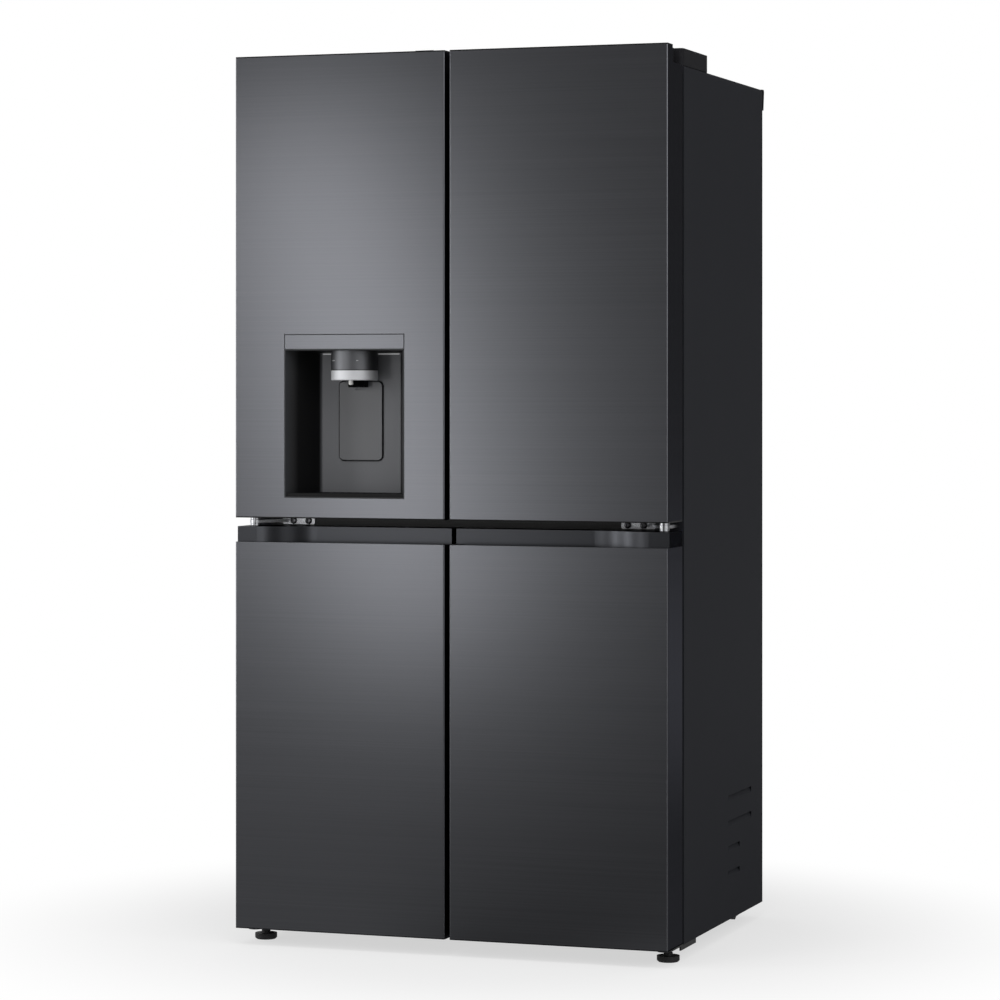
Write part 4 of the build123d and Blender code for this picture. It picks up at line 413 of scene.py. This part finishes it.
brush_value = add_node(brush_group, "ShaderNodeMath", {2: full_value}, operation="MULTIPLY_ADD")
brush_tint = add_node(brush_group, "ShaderNodeHueSaturation")
brush_rough = add_node(brush_group, "ShaderNodeMath", {1: streak_swing}, operation="MULTIPLY_ADD")
brush_bump = add_node(brush_group, "ShaderNodeBump", Strength=0.5)
join(brush_group,
     (brush_place.outputs["Object"], brush_long.inputs["Vector"]),
     (brush_place.outputs["Object"], brush_fine.inputs["Vector"]),
     (brush_long.outputs["Vector"], brush_long_noise.inputs["Vector"]),
     (brush_fine.outputs["Vector"], brush_fine_noise.inputs["Vector"]),
     (brush_long_noise.outputs["Fac"], brush_sum.inputs[0]),
     (brush_fine_noise.outputs["Fac"], brush_sum.inputs[1]),
     (brush_sum.outputs[0], brush_mid.inputs[0]),
     (brush_mid.outputs[0], brush_value.inputs[0]),
     (brush_in.outputs["Streak"], brush_value.inputs[1]),
     (brush_value.outputs[0], brush_tint.inputs["Value"]),
     (brush_in.outputs["Tint"], brush_tint.inputs["Color"]),
     (brush_tint.outputs["Color"], brush_out.inputs["Color"]),
     (brush_mid.outputs[0], brush_rough.inputs[0]),
     (brush_in.outputs["Gloss"], brush_rough.inputs[2]),
     (brush_rough.outputs[0], brush_out.inputs["Roughness"]),
     (brush_fine_noise.outputs["Fac"], brush_bump.inputs["Height"]),
     (brush_in.outputs["Depth"], brush_bump.inputs["Distance"]),
     (brush_bump.outputs["Normal"], brush_out.inputs["Normal"]))


def brushed(title, swatch, gloss, depth, streak, **sockets):
    """A metal finish with fine streaks from side to side."""
    finish, tree, shader = start_finish(title, **sockets)
    place_group(tree, brush_group, shader, Tint=tone(*swatch), Gloss=gloss, Depth=depth, Streak=streak)
    return finish


door_steel = brushed("door_steel", swatch=(96, 97, 101), gloss=0.30, depth=0.0000025, streak=0.20,
                     Metallic=1.0, Specular_Tint=(0.30, 0.30, 0.31, 1))
dress(door_steel, "upper_left_skin", "upper_right_skin", "lower_left_skin", "lower_right_skin",
      "dispenser_header")

# End caps and handle strips. Black moulded caps close the upper doors' ends, and a thin insert is pressed
# into the left one's top. The lower doors' top caps carry the long set-back strip, painted a satin dark
# grey, whose S-shaped run meets the door's front at the hinge.
cap_black = coated("cap_black", swatch=(15, 15, 16), gloss=0.46, peel=1300.0, depth=0.0001,
                   Specular_IOR_Level=0.14)
dress(cap_black, "upper_left_caps", "upper_right_caps")
insert_wide, insert_deep, insert_edge = 0.038, 0.018, 0.0005
insert_sunk, insert_proud = 0.0002, 0.0014
insert_side, insert_back = 0.026, 0.006
cap_low, cap_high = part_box("upper_left_caps")
insert_right, insert_front = cap_high.x - insert_side, cap_low.y + insert_back
insert_shape = bmesh.new()
add_block(insert_shape, (insert_right - insert_wide, insert_front, cap_high.z - insert_sunk),
          (insert_right, insert_front + insert_deep, cap_high.z + insert_proud), insert_edge)
keep_piece("cap_insert", insert_shape, "upper_left_door", cap_black)
handle_strip = brushed("handle_strip", swatch=(61, 62, 65), gloss=0.34, depth=0.000002, streak=0.08,
                       Metallic=1.0, Specular_Tint=(0.25, 0.25, 0.26, 1))
dress(handle_strip, "lower_left_caps", "lower_right_caps")

# Door gaskets. Soft black vinyl is extruded in one section, mitred and welded at the corners, and pushed
# into the liner's groove. A bellows carries the bulb, whose magnet strip pulls it to the cabinet's front.
seal_black = coated("seal_black", swatch=(30, 30, 31), gloss=0.66, peel=1800.0, depth=0.0001, cloud=0.10)
seal_wide = 0.018
seal_half = [(across / 1000, out / 1000) for across, out in (
    (0, 0), (0, 2.2), (0.8, 3.0), (3.4, 3.3), (5.6, 4.2), (5.8, 4.9), (4.4, 5.6), (3.6, 6.8), (3.5, 9.4),
    (4.2, 10.7), (5.4, 11.2))]
seal_section = [(seal_wide - across, out) for across, out in seal_half] + seal_half[::-1]


def mitred_ring(section, low, high):
    """Carry a closed section round the four corners of an upright frame."""
    shape = bmesh.new()
    corners = ((low.x, 1, low.z, 1), (high.x, -1, low.z, 1), (high.x, -1, high.z, -1),
               (low.x, 1, high.z, -1))
    ends = [shape.verts.new((low.x + across, low.y + out, low.z + across)) for across, out in section]
    loop = [shape.edges.new((ends[count - 1], ends[count])) for count in range(len(ends))]
    for count, (here_x, _, _, _) in enumerate(corners):
        there_x, turn_x, there_z, turn_z = corners[(count + 1) % len(corners)]
        made = bmesh.ops.extrude_edge_only(shape, edges=loop)["geom"]
        moved = {part for part in made if isinstance(part, bmesh.types.BMVert)}
        for vert in moved:
            across = abs(vert.co.x - here_x)
            vert.co.x, vert.co.z = there_x + turn_x * across, there_z + turn_z * across
        loop = [part for part in made if isinstance(part, bmesh.types.BMEdge) and set(part.verts) <= moved]
    return shape


for leaf in ("upper_left", "upper_right", "lower_left", "lower_right"):
    seal_shape = mitred_ring(seal_section, *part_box(f"{leaf}_gasket"))
    seal = keep_piece(f"{leaf}_seal", seal_shape, f"{leaf}_door", seal_black)
    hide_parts(f"{leaf}_gasket")


# Dispenser. A black moulded bay with a grey rear plate carries a satin metal spout block with a bright
# ring, a white nozzle, a paddle that is pushed by the glass, and a slotted tray for drips.
def graded(title, axis, start, end, stops, gloss, peel, depth, cloud=0.06, **sockets):
    """A coat whose colour changes along one axis, by its stops between two places."""
    finish, tree, shader = start_finish(title, **sockets)
    coat = place_group(tree, coat_group, shader, Gloss=gloss, Peel=peel, Depth=depth, Cloud=cloud)
    place = add_node(tree, "ShaderNodeTexCoord")
    split = add_node(tree, "ShaderNodeSeparateXYZ")
    share = add_node(tree, "ShaderNodeMapRange", From_Min=start, From_Max=end)
    ramp = add_node(tree, "ShaderNodeValToRGB")
    first, *between, last = stops
    ends = ramp.color_ramp.elements
    for end_stop, (position, swatch) in zip(ends, (first, last)):
        end_stop.position, end_stop.color = position, tone(*swatch)
    for position, swatch in between:
        ends.new(position).color = tone(*swatch)
    join(tree,
         (place.outputs["Object"], split.inputs[0]),
         (split.outputs[axis], share.inputs["Value"]),
         (share.outputs["Result"], ramp.inputs["Fac"]),
         (ramp.outputs["Color"], coat.inputs["Tint"]))
    return finish


# The bay's walls carry painted shade: dark grey at the front edge where light reaches, falling to black
# deeper into the recess. The grey rear plate at the back is its own colour.
bay_front, bay_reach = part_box("dispenser_housing")[0].y, 0.1
bay_shade_stops = ((0.05, (50, 51, 53)), (0.20, (40, 40, 41)), (0.34, (8, 8, 9)), (0.87, (5, 5, 6)),
             (0.94, (103, 104, 107)))
bay_black_and_shade = graded("bay_black_and_shade", "Y", bay_front, bay_front + bay_reach, bay_shade_stops, gloss=0.46, peel=1600.0,
                   depth=0.0001, Specular_IOR_Level=0.2)
dress(bay_black_and_shade, "dispenser_housing")
paddle_grey = coated("paddle_grey", swatch=(85, 86, 89), gloss=0.40, peel=1600.0, depth=0.00008)
dress(paddle_grey, "dispenser_paddle")
ring_low, ring_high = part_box("spout_ring")
# The spout block's lowest band just above the ring is painted black, a painted shadow for the gap between
# block and ring. Above it the block has its own satin grey.
gap_shade_start, gap_shade_end = 0.0004, 0.0024
spout_gap_shade_stops = ((0.3, (8, 8, 8)), (0.7, (104, 105, 108)))
spout_satin_and_gap_shade = graded("spout_satin_and_gap_shade", "Z", ring_high.z + gap_shade_start, ring_high.z + gap_shade_end, spout_gap_shade_stops,
                     gloss=0.50, peel=300.0, depth=0.00005, Metallic=1.0)
dress(spout_satin_and_gap_shade, "spout_block")
bright_ring = brushed("bright_ring", swatch=(206, 207, 210), gloss=0.58, depth=0.00001, streak=0.04,
                      Metallic=0.55)
dress(bright_ring, "spout_ring")
nozzle_white = coated("nozzle_white", swatch=(236, 236, 233), gloss=0.35)
dress(nozzle_white, "water_nozzle")
tray_dark = coated("tray_dark", swatch=(17, 17, 18), gloss=0.55, peel=1400.0, depth=0.0001,
                   Specular_IOR_Level=0.15)
dress(tray_dark, "drip_tray")

# Dispenser lamp and markers. A thin frosted lens sits high on the bay's rear wall, and two small pale inlays
# let into the spout block show where ice and water come out.
lens_lit = coated("lens_lit", swatch=(222, 224, 226), gloss=0.45, Emission_Color=(1.0, 1.0, 1.0, 1.0),
                  Emission_Strength=0.12)
lens_half, lens_thick, lens_high, lens_edge = 0.0835, 0.0016, 0.0020, 0.0004
lens_up = 0.0325
lens_z = ring_high.z + lens_up
spout_x = (ring_low.x + ring_high.x) / 2
lens_shape = bmesh.new()
add_block(lens_shape, (spout_x - lens_half, ring_high.y - lens_thick, lens_z),
          (spout_x + lens_half, ring_high.y, lens_z + lens_high), lens_edge)
keep_piece("bay_lens", lens_shape, "upper_left_door", lens_lit)
lens_pale = coated("lens_pale", swatch=(186, 188, 190), gloss=0.45)
marker_turns = ((-42, 0.0055), (28, 0.0020))
marker_proud, marker_high, marker_edge = 0.0006, 0.0012, 0.0002
marker_up = 0.0192
marker_z = ring_high.z + marker_up
spout_r = 0.0475
spout_y = ring_low.y + spout_r
marker = bmesh.new()
for degrees, half in marker_turns:
    face_y = spout_y - math.sqrt(spout_r ** 2 - half ** 2)
    older = set(marker.verts)
    add_block(marker, (spout_x - half, face_y - marker_proud, marker_z),
              (spout_x + half, face_y + marker_proud, marker_z + marker_high), marker_edge)
    bmesh.ops.rotate(marker, verts=[vert for vert in marker.verts if vert not in older],
                     cent=(spout_x, spout_y, 0), matrix=Matrix.Rotation(math.radians(degrees), 3, "Z"))
keep_piece("spout_markers", marker, "upper_left_door", lens_pale)

# Folding centre bar. A hollow grey moulding hangs on two pins at the upper left door's edge; unfolded, it
# closes the gap behind the upper doors' seals.
bar_grey = coated("bar_grey", swatch=(128, 130, 133), gloss=0.40, peel=1000.0)
dress(bar_grey, "flip_mullion")

# Studio. A pale floor runs into a white sweep behind the refrigerator, in a grey room. Two soft boxes stand
# left of the camera, one hangs over the front and one fills the right side. Reflections alone show the
# floor's grey front, darkest just right of the middle, and two white panels that edge the doors with light.
floor_r = 14.0
floor_shape = bmesh.new()
bmesh.ops.create_circle(floor_shape, cap_ends=True, segments=96, radius=floor_r)
floor_mesh = bpy.data.meshes.new("floor")
floor_shape.to_mesh(floor_mesh)
floor_shape.free()
floor = bpy.data.objects.new("floor", floor_mesh)
bpy.context.scene.collection.objects.link(floor)
floor_paint, floor_tree, floor_shader = start_finish(
    "floor_pale", Base_Color=(0.9, 0.9, 0.9, 1), Roughness=0.9, Specular_IOR_Level=0.0)
floor_back_way, floor_left_way = (-0.8, 0.6, 0.0), (-1.0, 0.0, 0.0)
floor_dark_turn = 0.15
floor_place = add_node(floor_tree, "ShaderNodeTexCoord")
floor_reach = add_node(floor_tree, "ShaderNodeVectorMath", operation="LENGTH")
floor_fade = add_node(floor_tree, "ShaderNodeMapRange", interpolation_type="SMOOTHSTEP",
                      From_Min=0.55, From_Max=1.3, To_Min=0.62)
floor_toward = add_node(floor_tree, "ShaderNodeVectorMath", {1: floor_back_way}, operation="DOT_PRODUCT")
floor_behind = add_node(floor_tree, "ShaderNodeMapRange", interpolation_type="SMOOTHSTEP",
                        From_Min=0.3, From_Max=1.2)
floor_way = add_node(floor_tree, "ShaderNodeVectorMath", operation="NORMALIZE")
floor_aside = add_node(floor_tree, "ShaderNodeVectorMath", {1: floor_left_way}, operation="DOT_PRODUCT")
floor_turn = add_node(floor_tree, "ShaderNodeMath", {1: floor_dark_turn}, operation="ADD")
floor_spread = add_node(floor_tree, "ShaderNodeMath", operation="ABSOLUTE")
floor_front = add_node(floor_tree, "ShaderNodeMapRange", From_Min=0.17, From_Max=0.55,
                       To_Min=0.12, To_Max=0.31)
floor_ray = add_node(floor_tree, "ShaderNodeLightPath")
floor_direct = add_node(floor_tree, "ShaderNodeMath", operation="MAXIMUM")
floor_level = add_node(floor_tree, "ShaderNodeMath", operation="MAXIMUM")
floor_share = add_node(floor_tree, "ShaderNodeMath", operation="MULTIPLY")
floor_seen = add_node(floor_tree, "ShaderNodeMath", operation="MAXIMUM")
floor_glow = add_node(floor_tree, "ShaderNodeEmission", Color=(1, 1, 1, 1))
floor_mix = add_node(floor_tree, "ShaderNodeMixShader")
join(floor_tree,
     (floor_place.outputs["Object"], floor_reach.inputs[0]),
     (floor_reach.outputs["Value"], floor_fade.inputs["Value"]),
     (floor_place.outputs["Object"], floor_toward.inputs[0]),
     (floor_toward.outputs["Value"], floor_behind.inputs["Value"]),
     (floor_place.outputs["Object"], floor_way.inputs[0]),
     (floor_way.outputs["Vector"], floor_aside.inputs[0]),
     (floor_aside.outputs["Value"], floor_turn.inputs[0]),
     (floor_turn.outputs[0], floor_spread.inputs[0]),
     (floor_spread.outputs[0], floor_front.inputs["Value"]),
     (floor_front.outputs["Result"], floor_behind.inputs["To Min"]),
     (floor_ray.outputs["Is Camera Ray"], floor_direct.inputs[0]),
     (floor_ray.outputs["Is Transmission Ray"], floor_direct.inputs[1]),
     (floor_direct.outputs[0], floor_level.inputs[0]),
     (floor_behind.outputs["Result"], floor_level.inputs[1]),
     (floor_level.outputs[0], floor_glow.inputs["Strength"]),
     (floor_direct.outputs[0], floor_share.inputs[0]),
     (floor_fade.outputs["Result"], floor_share.inputs[1]),
     (floor_share.outputs[0], floor_seen.inputs[0]),
     (floor_ray.outputs["Is Glossy Ray"], floor_seen.inputs[1]),
     (floor_seen.outputs[0], floor_mix.inputs[0]),
     (floor_shader.outputs[0], floor_mix.inputs[1]),
     (floor_glow.outputs[0], floor_mix.inputs[2]),
     (floor_mix.outputs[0], floor_tree.nodes["Material Output"].inputs["Surface"]))
floor.data.materials.append(floor_paint)

studio = bpy.data.worlds.new("studio")
bpy.context.scene.world = studio
studio.use_nodes = True
room = studio.node_tree
room_light = 0.5
sweep_way = (-0.33, 0.944, 0.0)
panel_ways = ((0.8, -0.6, 0.0), (-0.99, -0.14, 0.0))
room_grey = room.nodes["Background"]
room_grey.inputs["Color"].default_value = (1, 1, 1, 1)
room_level = add_node(room, "ShaderNodeMath", {2: room_light}, operation="MULTIPLY_ADD")
room_panels = add_node(room, "ShaderNodeMath", operation="MAXIMUM")
room_place = add_node(room, "ShaderNodeTexCoord")
room_ray = add_node(room, "ShaderNodeLightPath")
for socket, panel_way in enumerate(panel_ways):
    panel_toward = add_node(room, "ShaderNodeVectorMath", {1: panel_way}, operation="DOT_PRODUCT")
    panel_edge = add_node(room, "ShaderNodeMapRange", interpolation_type="SMOOTHSTEP",
                          From_Min=0.80, From_Max=0.92, To_Min=-0.35, To_Max=1.2)
    join(room,
         (room_place.outputs["Generated"], panel_toward.inputs[0]),
         (panel_toward.outputs["Value"], panel_edge.inputs["Value"]),
         (panel_edge.outputs["Result"], room_panels.inputs[socket]))
sweep_white = add_node(room, "ShaderNodeBackground", Color=(1, 1, 1, 1), Strength=1.0)
sweep_toward = add_node(room, "ShaderNodeVectorMath", {1: sweep_way}, operation="DOT_PRODUCT")
sweep_edge = add_node(room, "ShaderNodeMapRange", interpolation_type="SMOOTHSTEP",
                      From_Min=0.84, From_Max=0.94)
sweep_gloss = add_node(room, "ShaderNodeMath", operation="MULTIPLY")
sweep_direct = add_node(room, "ShaderNodeMath", operation="MAXIMUM")
sweep_seen = add_node(room, "ShaderNodeMath", operation="MAXIMUM")
room_mix = add_node(room, "ShaderNodeMixShader")
join(room,
     (room_ray.outputs["Is Glossy Ray"], room_level.inputs[0]),
     (room_panels.outputs[0], room_level.inputs[1]),
     (room_level.outputs[0], room_grey.inputs["Strength"]),
     (room_place.outputs["Generated"], sweep_toward.inputs[0]),
     (sweep_toward.outputs["Value"], sweep_edge.inputs["Value"]),
     (room_ray.outputs["Is Glossy Ray"], sweep_gloss.inputs[0]),
     (sweep_edge.outputs["Result"], sweep_gloss.inputs[1]),
     (room_ray.outputs["Is Camera Ray"], sweep_direct.inputs[0]),
     (room_ray.outputs["Is Transmission Ray"], sweep_direct.inputs[1]),
     (sweep_direct.outputs[0], sweep_seen.inputs[0]),
     (sweep_gloss.outputs[0], sweep_seen.inputs[1]),
     (sweep_seen.outputs[0], room_mix.inputs[0]),
     (room_grey.outputs[0], room_mix.inputs[1]),
     (sweep_white.outputs[0], room_mix.inputs[2]),
     (room_mix.outputs[0], room.nodes["World Output"].inputs["Surface"]))


def soft_box(title, place, aim, wide, high, watts, lean=0.0):
    """A rectangular soft light that faces a point, its top leaning over by some degrees."""
    lamp = bpy.data.lights.new(title, "AREA")
    lamp.shape = "RECTANGLE"
    lamp.size, lamp.size_y, lamp.energy = wide, high, watts
    holder = bpy.data.objects.new(title, lamp)
    holder.location = place
    facing = (Vector(aim) - Vector(place)).to_track_quat("-Z", "Y")
    holder.rotation_euler = (facing @ Quaternion((0, 0, 1), math.radians(lean))).to_euler()
    bpy.context.scene.collection.objects.link(holder)


soft_box("key_box", place=(-1.02, -2.5, 1.15), aim=(-0.2, -0.36, 1.09), wide=0.35, high=1.43, watts=8.2,
         lean=14)
soft_box("left_fill", place=(-2.4, -2.0, 1.1), aim=(0.2, -0.36, 0.85), wide=0.4, high=1.6, watts=16)
soft_box("over_box", place=(0.2, -1.9, 3.4), aim=(0.0, -0.2, 0.9), wide=2.2, high=1.4, watts=25)
soft_box("side_fill", place=(3.2, -0.8, 2.3), aim=(0.45, 0.0, 1.4), wide=1.6, high=2.0, watts=14)

lens = bpy.data.cameras.new("camera")
lens.sensor_width = 36.0
lens.lens = 124.17
lens.shift_y = -0.115
camera = bpy.data.objects.new("camera", lens)
camera.location = (2.3567, -6.7779, 1.1332)
camera.rotation_euler = (math.radians(90), 0, math.radians(19.2855))
bpy.context.scene.collection.objects.link(camera)
bpy.context.scene.camera = camera
bpy.context.scene.view_settings.view_transform = "Standard"
